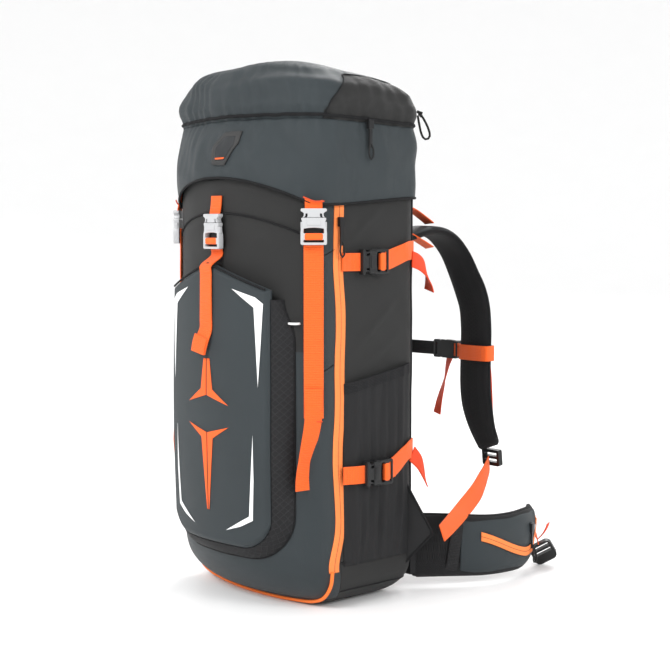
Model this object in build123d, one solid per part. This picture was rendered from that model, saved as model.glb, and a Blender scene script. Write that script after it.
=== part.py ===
"""A 45-litre-class top-loading hiking backpack, one STEP file for each piece. Millimetres.

The origin is the middle of the base on the ground, +Z up. -Y is the front, away from the
wearer, +Y is the harness side, and +X is the wearer's right.
"""
from build123d import *
import math
import os

os.makedirs("parts", exist_ok=True)

# bag
HALF_W = 148.0          # half width of the bag
FRONT_Y = -116.0        # front of the bag on its centre line
FRONT_R = 240.0         # bulge of the front, seen from above
CORNER_R = 46.0         # front corners, seen from above
BACK_Y = 105.0
BACK_CORNER_R = 22.0
BAG_TOP = 556.0         # top edge of the main panels
WALL = 3.0              # padded panel thickness
SIDE_BOTTOM_R = 50.0    # roll of the base up into the sides
FRONT_BOTTOM_R = 85.0
BACK_BOTTOM_R = 40.0
BASE_SEAM = 62.0        # height of the base panel's seam
ZIP_Y = -36.0           # seam between the front and side panels
BACK_SEAM = 82.0        # seam between the side and back panels
COLLAR_TOP = 571.0
COLLAR_DEPTH = 30.0     # how far the collar reaches down inside the panels
CORD_R = 1.5

# running and sewing clearances
CLEAR = 0.3
WEB_T = 1.5             # webbing thickness
WEB_OFF = 0.3           # webbing off the cloth behind it
SKIN = 1.2              # thin trim cloth
SEAM_SLACK = 0.01       # keeps flat cutting faces off the bag's own

# lid
LID_CLEAR = 3.5         # skirt to bag
LID_WALL = 2.5
LID_TOP = 712.0
LID_FLOOR_Z = 575.0
LID_FLOOR_T = 3.0
HINGE_Y = 109.0
HINGE_Z = 528.0
HINGE_R = 3.0
HINGE_HALF = 90.0
HEM_CORNER_Z = 521.0    # skirt hem at the corner straps
HEM_FRONT_Z = 557.0     # skirt hem at the front centre
HEM_SHEET_T = 2.0
HEM_SHEET_H = 26.0
LID_ZIP_Z = 624.0
LID_ZIP_H = 12.0
LID_SIDE_R = 42.0       # roll of the lid's top into its sides
LID_EDGE_R = 48.0       # roll of the lid's top into its front and back
BADGE_HALF = 24.0
BADGE_LOW = 572.0
BADGE_H = 40.0
BADGE_CUT = 9.0         # chamfer that makes the badge six-sided
BADGE_T = 2.0

# front pocket
POCKET_Y = -133.0
POCKET_R = 285.0
POCKET_HALF = 103.0
POCKET_TOP = 448.0
POCKET_SHOULDER = 414.0
POCKET_LOW = 80.0
POCKET_CORNER_R = 45.0
GUSSET_T = 2.0
GUSSET_TOP = 400.0

# side mesh pockets and zips
MESH_OUT = 9.0
MESH_T = 1.5
MESH_Y0 = -26.0
MESH_Y1 = 88.0
MESH_TOP = 300.0
ZIP_W = 16.0
ZIP_T = 1.4

# webbing and side-release buckles
WEB_W = 25.0
BUCKLE_W = 33.0
BUCKLE_T = 11.0
FEMALE_L = 34.0
MALE_L = 15.0
SHELL_T = 2.0
PRONG_L = 20.0
STUB_NARROW = 2.0       # stub webbing narrower on each edge
PATCH_H = 18.0          # sewn patch under the lid strap
LID_STRAP_X = 137.6
LID_BUCKLE_Z = 505.0
LID_STRAP_LOW = 252.0
UPPER_STRAP_Z = 449.0
LOWER_STRAP_Z = 176.0
SIDE_MOUTH_Y = 7.0
FRONT_MOUTH_Z = 499.0
STASH_LOW = 350.0

# back system
PAD_T = 15.0
PAD_IN = 16.0
PAD_OUT = 92.0
PAD_LOW = 168.0
PAD_TOP = 422.0
PAD_CORNER_R = 16.0
LUMBAR_LOW = 66.0
LUMBAR_TOP = 160.0
LUMBAR_CORNER_R = 20.0
SHEET_HALF = 105.0
SHEET_LOW = 70.0
SHEET_TOP = 520.0
SHEET_T = 1.2
STAY_W = 25.0
STAY_T = 3.0
STAY_X = 52.0
STAY_IN = 5.0           # stays end this far inside the sheet's ends
YOKE_T = 16.0
YOKE_LOW = 430.0
YOKE_TOP = 484.0
YOKE_HALF = 96.0
YOKE_CORNER_R = 14.0

# shoulder harness
STRAP_X = 60.0
STRAP_T = 14.0
STRAP_W = 54.0
HINGE_ROD_R = 5.0
STRAP_ROOT = (STRAP_X, 122.0, 463.0)
WING_TIP = (186.0, 112.0, 85.0)
STRAP_FACE_Y = 285.0    # middle of the strap's upright run
STERNUM_Z = 312.0
STERNUM_BACK_Y = 296.8
STERNUM_MOUTH_X = 8.0
STERNUM_BUCKLE_W = 27.0
STERNUM_PRONG_L = 10.0
STERNUM_WEB_W = 18.0
SLIDER_H = 16.0
SLIDER_HALF = 9.0
SLIDER_BACK = 1.2       # slider off the webbing behind it
RAIL_R = 2.0
RAIL_X = 90.0
RAIL_LOW = 262.0
RAIL_TOP = 372.0
LOCK_TOP = (112.0, 296.5, 171.5)
LIFTER_W = 20.0
LIFTER_TOP = (52.0, 120.0, 510.0)
LIFTER_FOOT = (66.0, 210.0, 497.1)
LOWER_WEB_W = 22.0
WING_ROOT_Y = 88.0
WING_HIGH = 150.0
WING_LOW = 46.0

# hip belt
FIN_T = 14.0
FIN_ROOT = (122.5, 120.0)
FIN_CENTRE = (66.0, 252.0)
FIN_R = 118.0
FIN_START = -32.0
FIN_END = 42.0
FIN_LOW = 10.0
FIN_TOP_ROOT = 101.0
FIN_TOP_END = 91.0
FIN_POCKET_T = 3.0
HIP_SLIDER_ANGLE = 20.0
HIP_ZIP_Z = 68.0
HIP_WEB_Z = 58.0
HIP_BUCKLE_TOP = (160.0, 346.0, 33.0)

# trim
HAUL_HALF = 30.0
HAUL_R = 3.5
HAUL_Y = 108.8
HAUL_Z = 514.0
HAUL_DROOP = 24.0
LOOP_HALF = 7.0
LOOP_R = 1.5
LOOP_X = 118.0
LOW_LOOP_X = 82.0
LOOP_HIGH_Z = 372.0
LOOP_LOW_Z = 78.0
SLIDER_REST_Z = 500.0

REACH = 400.0           # larger than the object, for cutting blocks


def slab(x0, x1, y0, y1, z0, z1):
    """Box given by its faces."""
    middle = Pos((x0 + x1) / 2, (y0 + y1) / 2, (z0 + z1) / 2)
    return middle * Box(x1 - x0, y1 - y0, z1 - z0)


def mirrored(shape):
    """The same piece on the wearer's left."""
    return mirror(shape, about=Plane.YZ)


def strip(start, end, across, width, thickness):
    """Flat bar from start to end, its width along the direction across."""
    start, end, across = Vector(*start), Vector(*end), Vector(*across)
    along = end - start
    plane = Plane(origin=start, x_dir=along, z_dir=along.cross(across))
    return plane.location * (Pos(along.length / 2, 0, 0) * Box(along.length, width, thickness))


def placed(shape, origin, outward, release):
    """Put a buckle half drawn in its own frame (Y outward, Z release) where it belongs."""
    outward, release = Vector(*outward), Vector(*release)
    plane = Plane(origin=Vector(*origin), x_dir=outward.cross(release), z_dir=release)
    return plane.location * shape


# ---------------------------------------------------------------- bag


def corner_frame():
    """Angle where front arc and corner meet, and the corner's centre."""
    angle = math.asin((HALF_W - CORNER_R) / (FRONT_R - CORNER_R))
    centre_y = FRONT_Y + FRONT_R - (FRONT_R - CORNER_R) * math.cos(angle)
    return angle, (HALF_W - CORNER_R, centre_y)


def bag_plan(grow):
    """Plan outline of the bag, grown outwards by grow."""
    angle, (cx, cy) = corner_frame()
    front = FRONT_R + grow
    corner = CORNER_R + grow
    back = BACK_CORNER_R + grow
    nose = (0, FRONT_Y - grow)
    turn = (front * math.sin(angle), FRONT_Y + FRONT_R - front * math.cos(angle))
    half = (angle + math.pi / 2) / 2
    middle = (cx + corner * math.sin(half), cy - corner * math.cos(half))
    side = (HALF_W + grow, cy)
    bx, by = HALF_W - BACK_CORNER_R, BACK_Y - BACK_CORNER_R
    back_side = (HALF_W + grow, by)
    back_mid = (bx + back * math.sqrt(0.5), by + back * math.sqrt(0.5))
    back_end = (bx, BACK_Y + grow)

    def left(point):
        return (-point[0], point[1])

    edges = [
        ThreePointArc(left(turn), nose, turn),
        ThreePointArc(turn, middle, side),
        Line(side, back_side),
        ThreePointArc(back_side, back_mid, back_end),
        Line(back_end, left(back_end)),
        ThreePointArc(left(back_end), left(back_mid), left(back_side)),
        Line(left(back_side), left(side)),
        ThreePointArc(left(side), left(middle), left(turn)),
    ]
    return Face(Wire([edge.edge() for edge in edges]))


def bag_block(grow, top=BAG_TOP):
    """The bag as one solid, grown outwards by grow below and at the sides."""
    low_z = -grow - BASE_SEAM
    block = Pos(0, 0, low_z) * extrude(bag_plan(grow), amount=top - low_z)
    half = HALF_W + grow + SEAM_SLACK
    across = slab(-half, half, -REACH, REACH, -grow, top + 50)
    low = across.edges().filter_by(Axis.Y).group_by(Axis.Z)[0]
    across = fillet(low, SIDE_BOTTOM_R + grow)
    near, far = FRONT_Y - grow - SEAM_SLACK, BACK_Y + grow + SEAM_SLACK
    along = slab(-REACH, REACH, near, far, -grow, top + 50)
    low = along.edges().filter_by(Axis.X).group_by(Axis.Z)[0].sort_by(Axis.Y)
    along = fillet([low[0]], FRONT_BOTTOM_R + grow)
    low = along.edges().filter_by(Axis.X).sort_by(Axis.Y)
    low = [edge for edge in low if edge.center().Y > 0 and edge.center().Z < 0.5 * top]
    along = fillet([max(low, key=lambda edge: edge.center().Y)], BACK_BOTTOM_R + grow)
    return block & across & along


BLOCKS = {}


def block_at(grow):
    """bag_block at full lid height, made once for each offset."""
    if grow not in BLOCKS:
        BLOCKS[grow] = bag_block(grow, LID_TOP)
    return BLOCKS[grow]


def layer(inner, outer, region):
    """Cloth that follows the bag between two offsets, inside region."""
    return (block_at(outer) & region) - block_at(inner)


def main_panels():
    """The five sewn panels of the main compartment."""
    lift = BAG_TOP
    front = layer(-WALL, 0.0, slab(-REACH, REACH, -REACH, ZIP_Y, BASE_SEAM, lift))
    back = layer(-WALL, 0.0, slab(-REACH, REACH, BACK_SEAM, REACH, BASE_SEAM, lift))
    right = layer(-WALL, 0.0, slab(0, REACH, ZIP_Y, BACK_SEAM, BASE_SEAM, lift))
    base = layer(-WALL, 0.0, slab(-REACH, REACH, -REACH, REACH, -10, BASE_SEAM))
    return {
        "front_panel": front,
        "back_panel": back,
        "side_panel_right": right,
        "side_panel_left": mirrored(right),
        "base_panel": base,
    }


def collar():
    """Gathered extension collar inside the panels' top edge."""
    outer = -WALL - CLEAR
    region = slab(-REACH, REACH, -REACH, REACH, BAG_TOP - COLLAR_DEPTH, COLLAR_TOP)
    return layer(outer - SKIN, outer, region)


def collar_drawcord():
    """Drawcord round the inside of the collar."""
    inset = -WALL - CLEAR - SKIN - CORD_R
    height = COLLAR_TOP - 3 * CORD_R
    thick = Pos(0, 0, height - CORD_R) * extrude(bag_plan(inset + CORD_R), amount=2 * CORD_R)
    hollow = Pos(0, 0, height - 2 * CORD_R) * extrude(bag_plan(inset - CORD_R), amount=4 * CORD_R)
    return thick - hollow


def frame_sheet():
    """Plastic frame sheet in its sleeve inside the back panel."""
    face = BACK_Y - WALL - CLEAR
    return slab(-SHEET_HALF, SHEET_HALF, face - SHEET_T, face, SHEET_LOW, SHEET_TOP)


def frame_stays():
    """Two flat aluminium stays in front of the sheet."""
    face = BACK_Y - WALL - CLEAR - SHEET_T
    low, high = SHEET_LOW + STAY_IN, SHEET_TOP - STAY_IN
    stay = slab(STAY_X - STAY_W / 2, STAY_X + STAY_W / 2, face - STAY_T, face, low, high)
    return [stay, mirrored(stay)]


# ---------------------------------------------------------------- pockets


def pocket_outline(grow):
    """Front pocket outline in the XZ plane, grown outwards, as a tall prism."""
    half = POCKET_HALF + grow
    low = POCKET_LOW - grow
    radius = POCKET_CORNER_R + grow
    bend = radius * (1 - math.sqrt(0.5))
    points = [(half, low + radius), (half - bend, low + bend), (half - radius, low)]
    edges = [
        Line((-half, POCKET_SHOULDER), (0, POCKET_TOP + grow)),
        Line((0, POCKET_TOP + grow), (half, POCKET_SHOULDER)),
        Line((half, POCKET_SHOULDER), points[0]),
        ThreePointArc(points[0], points[1], points[2]),
        Line(points[2], (-points[2][0], low)),
        ThreePointArc((-points[2][0], low), (-points[1][0], points[1][1]), (-half, low + radius)),
        Line((-half, low + radius), (-half, POCKET_SHOULDER)),
    ]
    face = Face(Wire([Plane.XZ.location * edge.edge() for edge in edges]))
    return extrude(face, amount=REACH, both=True)


def pocket_bulge(inset):
    """Everything behind the pocket's curved front, inset from it."""
    centre = Pos(0, POCKET_Y + POCKET_R, BAG_TOP / 2)
    return centre * Cylinder(POCKET_R - inset, BAG_TOP)


def front_pocket():
    """Pocket panel, and the mesh gusset that joins it to the bag."""
    reach = slab(-REACH, REACH, POCKET_Y - 5, -40, 0, BAG_TOP)
    panel = (pocket_outline(0) & pocket_bulge(0) & reach) - pocket_bulge(WALL)
    ring = pocket_outline(GUSSET_T) - pocket_outline(0)
    below = slab(-REACH, REACH, POCKET_Y - 5, 0, 0, GUSSET_TOP)
    gusset = (ring & pocket_bulge(0) & below) - block_at(0.0)
    return panel, gusset


def mesh_pocket():
    """Bottle pocket on the wearer's right, open at its top."""
    region = slab(60, REACH, MESH_Y0, MESH_Y1, BASE_SEAM, MESH_TOP)
    seam = MESH_T
    inside = slab(60, REACH, MESH_Y0 + seam, MESH_Y1 - seam, BASE_SEAM + seam, MESH_TOP + 10)
    return layer(0.0, MESH_OUT, region) - (block_at(MESH_OUT - MESH_T) & inside)


def side_zip():
    """Zip tape over the seam between front and side panels."""
    region = slab(60, REACH, ZIP_Y - ZIP_W / 2, ZIP_Y + ZIP_W / 2, BASE_SEAM, HEM_CORNER_Z)
    return layer(0.0, ZIP_T, region)


def zip_slider():
    """Slider body and pull, standing on a flat tape; Z is the pull's hanging direction."""
    body = slab(-4, 4, 0, 5, -6, 6)
    pull = slab(-2.5, 2.5, 2, 4, -30, -5.9)
    hole = Pos(0, 3, -26) * Rot(90, 0, 0) * Cylinder(1.2, 10)
    return (body + pull) - hole


# ---------------------------------------------------------------- buckles


def female_buckle(width=BUCKLE_W, length=FEMALE_L):
    """Buckle socket: mouth at z=0 opening to +Z, back face at y=0."""
    half = width / 2
    shell = slab(-half, half, 0, BUCKLE_T, -length, 0)
    corners = shell.edges().filter_by(Axis.Y)
    shell = fillet(corners, 4)
    cavity = slab(-half + SHELL_T, half - SHELL_T, SHELL_T, BUCKLE_T - SHELL_T, -PRONG_L - 3, 1)
    windows = slab(-half - 1, half + 1, SHELL_T, BUCKLE_T - SHELL_T, -PRONG_L, -8)
    slot = slab(-half + 4, half - 4, -1, BUCKLE_T + 1, -length + 3.5, -length + 7.5)
    return shell - cavity - windows - slot


def male_buckle(width=BUCKLE_W, prong=PRONG_L):
    """Plug half, seated: base above z=CLEAR, two arms and a guide tongue into the socket."""
    half = width / 2
    thick = BUCKLE_T - 2 * SHELL_T - 2 * CLEAR
    low = SHELL_T + CLEAR
    base = slab(-half, half, 0.5, BUCKLE_T - 0.5, CLEAR, MALE_L)
    base = fillet(base.edges().filter_by(Axis.Y), 3)
    slot = slab(-half + 4, half - 4, -1, BUCKLE_T + 1, MALE_L - 8, MALE_L - 3.5)
    reach = half - SHELL_T - CLEAR
    arm = slab(reach - 3.5, reach, low, low + thick, -prong, CLEAR + 1)
    tongue = slab(-2.5, 2.5, low, low + thick, -prong + 4, CLEAR + 1)
    return (base - slot) + arm + mirrored(arm) + tongue


def corner_normal():
    """Outward direction where the lid straps cross the front corners."""
    _, (cx, cy) = corner_frame()
    dx = LID_STRAP_X - cx
    dy = -math.sqrt(CORNER_R ** 2 - dx ** 2)
    return (dx / CORNER_R, dy / CORNER_R, 0), (cx, cy)


def corner_point(offset, height):
    """Point at the lid strap's line, offset off the bag."""
    normal, (cx, cy) = corner_normal()
    radius = CORNER_R + offset
    return (cx + normal[0] * radius, cy + normal[1] * radius, height)


def corner_region(width, low, high):
    """Block that cuts a band of the given width at the front corner."""
    normal, _ = corner_normal()
    middle = corner_point(0, (low + high) / 2)
    plane = Plane(origin=Vector(*middle), x_dir=(0, 0, 1), z_dir=Vector(*normal))
    return plane.location * Box(high - low, width, 60)


def lid_closure():
    """Corner strap with its anchor patch, socket, and the plug with its stub of webbing."""
    normal, _ = corner_normal()
    strap_top = LID_BUCKLE_Z - FEMALE_L / 2
    strap = layer(WEB_OFF, WEB_OFF + WEB_T, corner_region(WEB_W, LID_STRAP_LOW, strap_top))
    patch = corner_region(WEB_W, LID_STRAP_LOW - PATCH_H, LID_STRAP_LOW)
    strap += layer(0.0, WEB_OFF + WEB_T, patch)
    seat = corner_point(WEB_OFF + WEB_T + CLEAR, LID_BUCKLE_Z)
    female = placed(female_buckle(), seat, normal, (0, 0, 1))
    male = placed(male_buckle(), seat, normal, (0, 0, 1))
    stub_low = LID_BUCKLE_Z + MALE_L - 3
    stub = layer(1.0, 1.0 + WEB_T, corner_region(WEB_W - 2 * STUB_NARROW, stub_low, stub_low + 42))
    return strap, female, male, stub


def front_closure():
    """Centre strap that holds the front pocket up, with its buckle and the stub above."""
    seat = (0, FRONT_Y - WEB_OFF - WEB_T - CLEAR, FRONT_MOUTH_Z)
    female = placed(female_buckle(), seat, (0, -1, 0), (0, 0, 1))
    male = placed(male_buckle(), seat, (0, -1, 0), (0, 0, 1))
    half = WEB_W / 2
    behind = slab(-half, half, -REACH, 0, POCKET_TOP + 4, FRONT_MOUTH_Z - FEMALE_L / 2)
    strap = layer(WEB_OFF, WEB_OFF + WEB_T, behind)
    face = POCKET_Y - WEB_OFF
    low = slab(-half, half, face - WEB_T, face, STASH_LOW, POCKET_TOP + 4)
    step = slab(-half, half, face - WEB_T, FRONT_Y - WEB_OFF, POCKET_TOP + 4, POCKET_TOP + 5.5)
    inner = half - STUB_NARROW
    stub_low = FRONT_MOUTH_Z + MALE_L - 3
    stub = layer(0.4, 0.4 + WEB_T, slab(-inner, inner, -REACH, 0, stub_low, stub_low + 25))
    return strap + step + low, female, male, stub


def side_compression(height):
    """Compression strap on the wearer's right at a height: strap, socket, plug, stub."""
    face = HALF_W + WEB_OFF + WEB_T + CLEAR
    if height < MESH_TOP:
        face += MESH_OUT
    outward, release = (1, 0, 0), (0, -1, 0)
    seat = (face, SIDE_MOUTH_Y, height)
    female = placed(female_buckle(), seat, outward, release)
    male = placed(male_buckle(), seat, outward, release)
    half = WEB_W / 2
    offset = face - HALF_W - CLEAR - WEB_T
    back = slab(60, REACH, SIDE_MOUTH_Y + FEMALE_L / 2, BACK_Y - 8, height - half, height + half)
    strap = layer(offset, offset + WEB_T, back)
    ahead = slab(face - CLEAR - WEB_T, face - CLEAR, ZIP_Y + ZIP_W / 2 + 2, SIDE_MOUTH_Y - MALE_L + 3,
                 height - half + STUB_NARROW, height + half - STUB_NARROW)
    return strap, female, male, ahead


# ---------------------------------------------------------------- lid


def lid_block(inset):
    """Outer form of the lid, inset inwards: plan, front and side profiles together."""
    grow = LID_CLEAR + LID_WALL - inset
    top = LID_TOP - inset
    plan = Pos(0, 0, HEM_CORNER_Z) * extrude(bag_plan(grow), amount=top - HEM_CORNER_Z)
    half = HALF_W + grow + SEAM_SLACK
    across = slab(-half, half, -REACH, REACH, 0, top)
    high = across.edges().filter_by(Axis.Y).group_by(Axis.Z)[-1]
    across = fillet(high, LID_SIDE_R - inset)
    near, far = FRONT_Y - grow - SEAM_SLACK, BACK_Y + grow + SEAM_SLACK
    along = slab(-REACH, REACH, near, far, 0, top)
    high = along.edges().filter_by(Axis.X).group_by(Axis.Z)[-1]
    along = fillet(high, LID_EDGE_R - inset)
    return plan & across & along


def hem_cutter():
    """What is cut away below the skirt's hem: arched at the front, straight at the back."""
    span = LID_STRAP_X - 8
    arch = [
        ThreePointArc((-span, HEM_CORNER_Z), (0, HEM_FRONT_Z), (span, HEM_CORNER_Z)),
        Line((span, HEM_CORNER_Z), (span, HEM_CORNER_Z - 20)),
        Line((span, HEM_CORNER_Z - 20), (-span, HEM_CORNER_Z - 20)),
        Line((-span, HEM_CORNER_Z - 20), (-span, HEM_CORNER_Z)),
    ]
    face = Face(Wire([Plane.XZ.location * edge.edge() for edge in arch]))
    front = Pos(0, -60, 0) * extrude(face, amount=REACH, dir=(0, -1, 0))
    back_z = HINGE_Z + HINGE_R + CLEAR
    back = slab(-REACH, REACH, 0, REACH, 0, back_z)
    return front, back


def lid_pieces():
    """Lid shell with its skirt, the floor of the lid pocket, zip, badge."""
    front, back = hem_cutter()
    inner = lid_block(LID_WALL)
    inner += Pos(0, 0, -60) * extrude(Pos(0, 0, HEM_CORNER_Z) * bag_plan(LID_CLEAR), amount=100)
    shell = lid_block(0) - inner - front - back
    floor_plan = Pos(0, 0, LID_FLOOR_Z) * extrude(bag_plan(LID_CLEAR - CLEAR), amount=LID_FLOOR_T)
    region = slab(-REACH, REACH, -REACH, 20, LID_ZIP_Z - LID_ZIP_H / 2, LID_ZIP_Z + LID_ZIP_H / 2)
    outer = LID_CLEAR + LID_WALL
    zip_tape = layer(outer, outer + ZIP_T, region)
    badge_region = slab(-BADGE_HALF, BADGE_HALF, -REACH, 0, BADGE_LOW, BADGE_LOW + BADGE_H)
    badge_region = chamfer(badge_region.edges().filter_by(Axis.Y), BADGE_CUT)
    badge = layer(outer, outer + BADGE_T, badge_region)
    return shell, floor_plan, zip_tape, badge


def lid_hinge_hem():
    """Sewn hem that carries the lid at the back."""
    rod = Pos(0, HINGE_Y, HINGE_Z) * Rot(0, 90, 0) * Cylinder(HINGE_R, 2 * HINGE_HALF)
    foot = HINGE_Z - HEM_SHEET_H
    sheet = slab(-HINGE_HALF, HINGE_HALF, BACK_Y, BACK_Y + HEM_SHEET_T, foot, HINGE_Z)
    bridge = slab(-HINGE_HALF, HINGE_HALF, BACK_Y, HINGE_Y, HINGE_Z - HEM_SHEET_T, HINGE_Z)
    return rod + sheet + bridge


# ---------------------------------------------------------------- back and harness


def back_pads():
    """Two foam columns down the back."""
    pad = slab(PAD_IN, PAD_OUT, BACK_Y, BACK_Y + PAD_T, PAD_LOW, PAD_TOP)
    pad = fillet(pad.edges().filter_by(Axis.Y), PAD_CORNER_R)
    return [pad, mirrored(pad)]


def lumbar_pad():
    """Lumbar pad at the foot of the back."""
    pad = slab(-PAD_OUT, PAD_OUT, BACK_Y, BACK_Y + PAD_T + 3, LUMBAR_LOW, LUMBAR_TOP)
    return fillet(pad.edges().filter_by(Axis.Y), LUMBAR_CORNER_R)


def swing_axis():
    """Line that a shoulder strap swings about: its root and the lower webbing's anchor."""
    root, tip = Vector(*STRAP_ROOT), Vector(*WING_TIP)
    return root, (tip - root).normalized()


def root_rod(radius, length):
    """Rod on the swing axis at the strap's root."""
    root, along = swing_axis()
    plane = Plane(origin=root, z_dir=along)
    return plane.location * Cylinder(radius, length)


def harness_yoke():
    """Padded yoke that holds both strap roots."""
    yoke = slab(-YOKE_HALF, YOKE_HALF, BACK_Y, BACK_Y + YOKE_T, YOKE_LOW, YOKE_TOP)
    yoke = fillet(yoke.edges().filter_by(Axis.Y), YOKE_CORNER_R)
    groove = root_rod(HINGE_ROD_R + CLEAR, 120)
    return yoke - groove - mirrored(groove)


def band(points, thickness, plane):
    """Closed face of even thickness along a smooth line in a plane."""
    middle = [Vector(p[0], p[1], 0) for p in points]
    line = Edge.make_spline(middle)
    steps = [i / 24 for i in range(25)]
    near, far = [], []
    for step in steps:
        at, along = line.position_at(step), line.tangent_at(step)
        side = Vector(-along.Y, along.X, 0) * (thickness / 2)
        near.append(at + side)
        far.append(at - side)
    edges = [
        Edge.make_spline(near),
        Edge.make_line(near[-1], far[-1]),
        Edge.make_spline(list(reversed(far))),
        Edge.make_line(far[0], near[0]),
    ]
    return plane.location * Face(Wire(edges))


STRAP_SIDE = [(139, 468), (165, 481), (205, 489), (240, 482), (267, 458), (282, 420), (285, 385),
              (285, 320), (285, 255), (289, 205), (295, 172)]
STRAP_FRONT = [(57, 500), (60, 470), (69, 437), (82, 405), (90, 365), (90, 315), (90, 260),
               (99, 208), (116, 150)]


def shoulder_strap():
    """Curved foam strap, its root rod, and the web that joins them."""
    side = extrude(band(STRAP_SIDE, STRAP_T, Plane.YZ), amount=REACH, both=True)
    front = extrude(band(STRAP_FRONT, STRAP_W, Plane.XZ), amount=REACH, both=True)
    foam = side & front
    web = slab(STRAP_X - 20, STRAP_X + 2, STRAP_ROOT[1] + 0.5, 146, 466, 472)
    return foam + web + root_rod(HINGE_ROD_R, 44)


def strap_face(offset, thickness, width, low, high):
    """Webbing on the strap's outer face between two heights."""
    shifted = [(y + (STRAP_T / 2 + offset + thickness / 2), z) for y, z in STRAP_SIDE[5:]]
    side = extrude(band(shifted, thickness, Plane.YZ), amount=REACH, both=True)
    front = extrude(band(STRAP_FRONT, width, Plane.XZ), amount=REACH, both=True)
    return side & front & slab(0, REACH, 0, REACH, low, high)


def rail_y():
    """Middle of the sternum rail, behind the webbing on the strap's face."""
    return STRAP_FACE_Y + STRAP_T / 2 + WEB_OFF + WEB_T + CLEAR + RAIL_R


def sternum_rail():
    """Upright rail on the strap's face that the sternum slider rides on."""
    y = rail_y()
    return slab(RAIL_X - RAIL_R, RAIL_X + RAIL_R, y - RAIL_R, y + RAIL_R, RAIL_LOW, RAIL_TOP)


def sternum_slider(inner_x):
    """Slider clip on the rail, and its webbing that runs behind the buckle to inner_x."""
    y = rail_y()
    room = RAIL_R + CLEAR
    half = SLIDER_H / 2
    low, high = STERNUM_Z - half, STERNUM_Z + half
    back = y - RAIL_R - CLEAR + SLIDER_BACK
    clip = slab(RAIL_X - SLIDER_HALF, RAIL_X + SLIDER_HALF, back, y + RAIL_R + 3, low, high)
    clip -= slab(RAIL_X - room, RAIL_X + room, y - room, y + room, low - 1, high + 1)
    face = STERNUM_BACK_Y - CLEAR
    web_half = STERNUM_WEB_W / 2
    web = slab(inner_x, RAIL_X - SLIDER_HALF, face - WEB_T, face, STERNUM_Z - web_half, STERNUM_Z + web_half)
    return clip + web


def sternum_buckle():
    """Socket and plug that join the two sternum webbings; the plug leaves towards -X."""
    seat = (STERNUM_MOUTH_X, STERNUM_BACK_Y, STERNUM_Z)
    outward, release = (0, 1, 0), (-1, 0, 0)
    socket = placed(female_buckle(STERNUM_BUCKLE_W), seat, outward, release)
    plug = placed(male_buckle(STERNUM_BUCKLE_W, STERNUM_PRONG_L), seat, outward, release)
    return socket, plug


def ladder_lock():
    """Three-bar adjuster at the strap's lower end."""
    plate = slab(-16, 16, -4, 4, -24, 0)
    plate = fillet(plate.edges().filter_by(Axis.Y), 3)
    for z in (-7, -16):
        plate -= slab(-12, 12, -5, 5, z - 2.5, z + 2.5)
    return Pos(*LOCK_TOP) * Rot(6, 0, 0) * plate


def lower_webbing():
    """Webbing from the adjuster to the tip of the stabiliser wing."""
    x, y, z = LOCK_TOP
    return strip((x + 1, y - 5.8, z - 22), WING_TIP, (1, 0.33, 0), LOWER_WEB_W, WEB_T)


def load_lifter():
    """Webbing that comes off the top of the shoulder strap, over the yoke."""
    return strip(LIFTER_TOP, LIFTER_FOOT, (1, 0, 0), LIFTER_W, WEB_T)


def stabiliser_wing():
    """Triangular side wing that the lower webbing pulls on."""
    x, y, z = WING_TIP
    top, low = (HALF_W - 6, WING_ROOT_Y, WING_HIGH), (HALF_W - 6, WING_ROOT_Y, WING_LOW)
    tip = (x - 13, y - 3, z - 1)
    face = Face(Wire([Edge.make_line(Vector(*top), Vector(*tip)),
                      Edge.make_line(Vector(*tip), Vector(*low)),
                      Edge.make_line(Vector(*low), Vector(*top))]))
    wing = extrude(face, amount=1.5, both=True)
    return wing - block_at(0.3)


# ---------------------------------------------------------------- hip belt


def fin_band(inner, outer, low, high):
    """Part of the hip fin's curve between two radii about its centre."""
    cx, cy = FIN_CENTRE
    ring = Cylinder(outer, high - low) - Cylinder(inner, high - low)
    ring = Pos(cx, cy, (low + high) / 2) * ring
    start, end = math.radians(FIN_START), math.radians(FIN_END)
    far = 3 * FIN_R
    corners = [(cx, cy), (cx + far * math.cos(start), cy + far * math.sin(start)),
               (cx + far, cy + far * math.tan(end))]
    end_point = (cx + far * math.cos(end), cy + far * math.sin(end))
    corners.append(end_point)
    wedge = extrude(Face(Wire.make_polygon([Vector(*c, low) for c in corners])), amount=high - low)
    return ring & wedge


def fin_point(angle, radius):
    """Plan point on the fin's arc."""
    turn = math.radians(angle)
    return (FIN_CENTRE[0] + radius * math.cos(turn), FIN_CENTRE[1] + radius * math.sin(turn))


def fin_slope():
    """Wedge that keeps the fin below its falling top edge and above its low edge."""
    points = [(100, FIN_LOW), (350, FIN_LOW), (350, FIN_TOP_END), (185, FIN_TOP_ROOT - 2),
              (100, FIN_TOP_ROOT)]
    face = Face(Wire.make_polygon([Vector(0, y, z) for y, z in points]))
    return extrude(face, amount=REACH, both=True)


def hip_fin():
    """Padded hip fin: round root, straight run and the curve that goes round the hip."""
    height = FIN_TOP_ROOT - FIN_LOW
    middle = (FIN_TOP_ROOT + FIN_LOW) / 2
    root = Pos(FIN_ROOT[0], FIN_ROOT[1], middle) * Cylinder(FIN_T / 2, height)
    start = fin_point(FIN_START, FIN_R)
    straight = strip((*FIN_ROOT, middle), (*start, middle), (0, 0, 1), height, FIN_T)
    curve = fin_band(FIN_R - FIN_T / 2, FIN_R + FIN_T / 2, FIN_LOW, FIN_TOP_ROOT)
    return (root + straight + curve) & fin_slope()


def hip_pocket():
    """Zipped pocket cloth on the fin's outer face."""
    face = FIN_R + FIN_T / 2
    cloth = fin_band(face, face + FIN_POCKET_T, FIN_LOW + 8, FIN_TOP_END - 6)
    return cloth & slab(60, REACH, 205, 318, 0, REACH)


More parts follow.
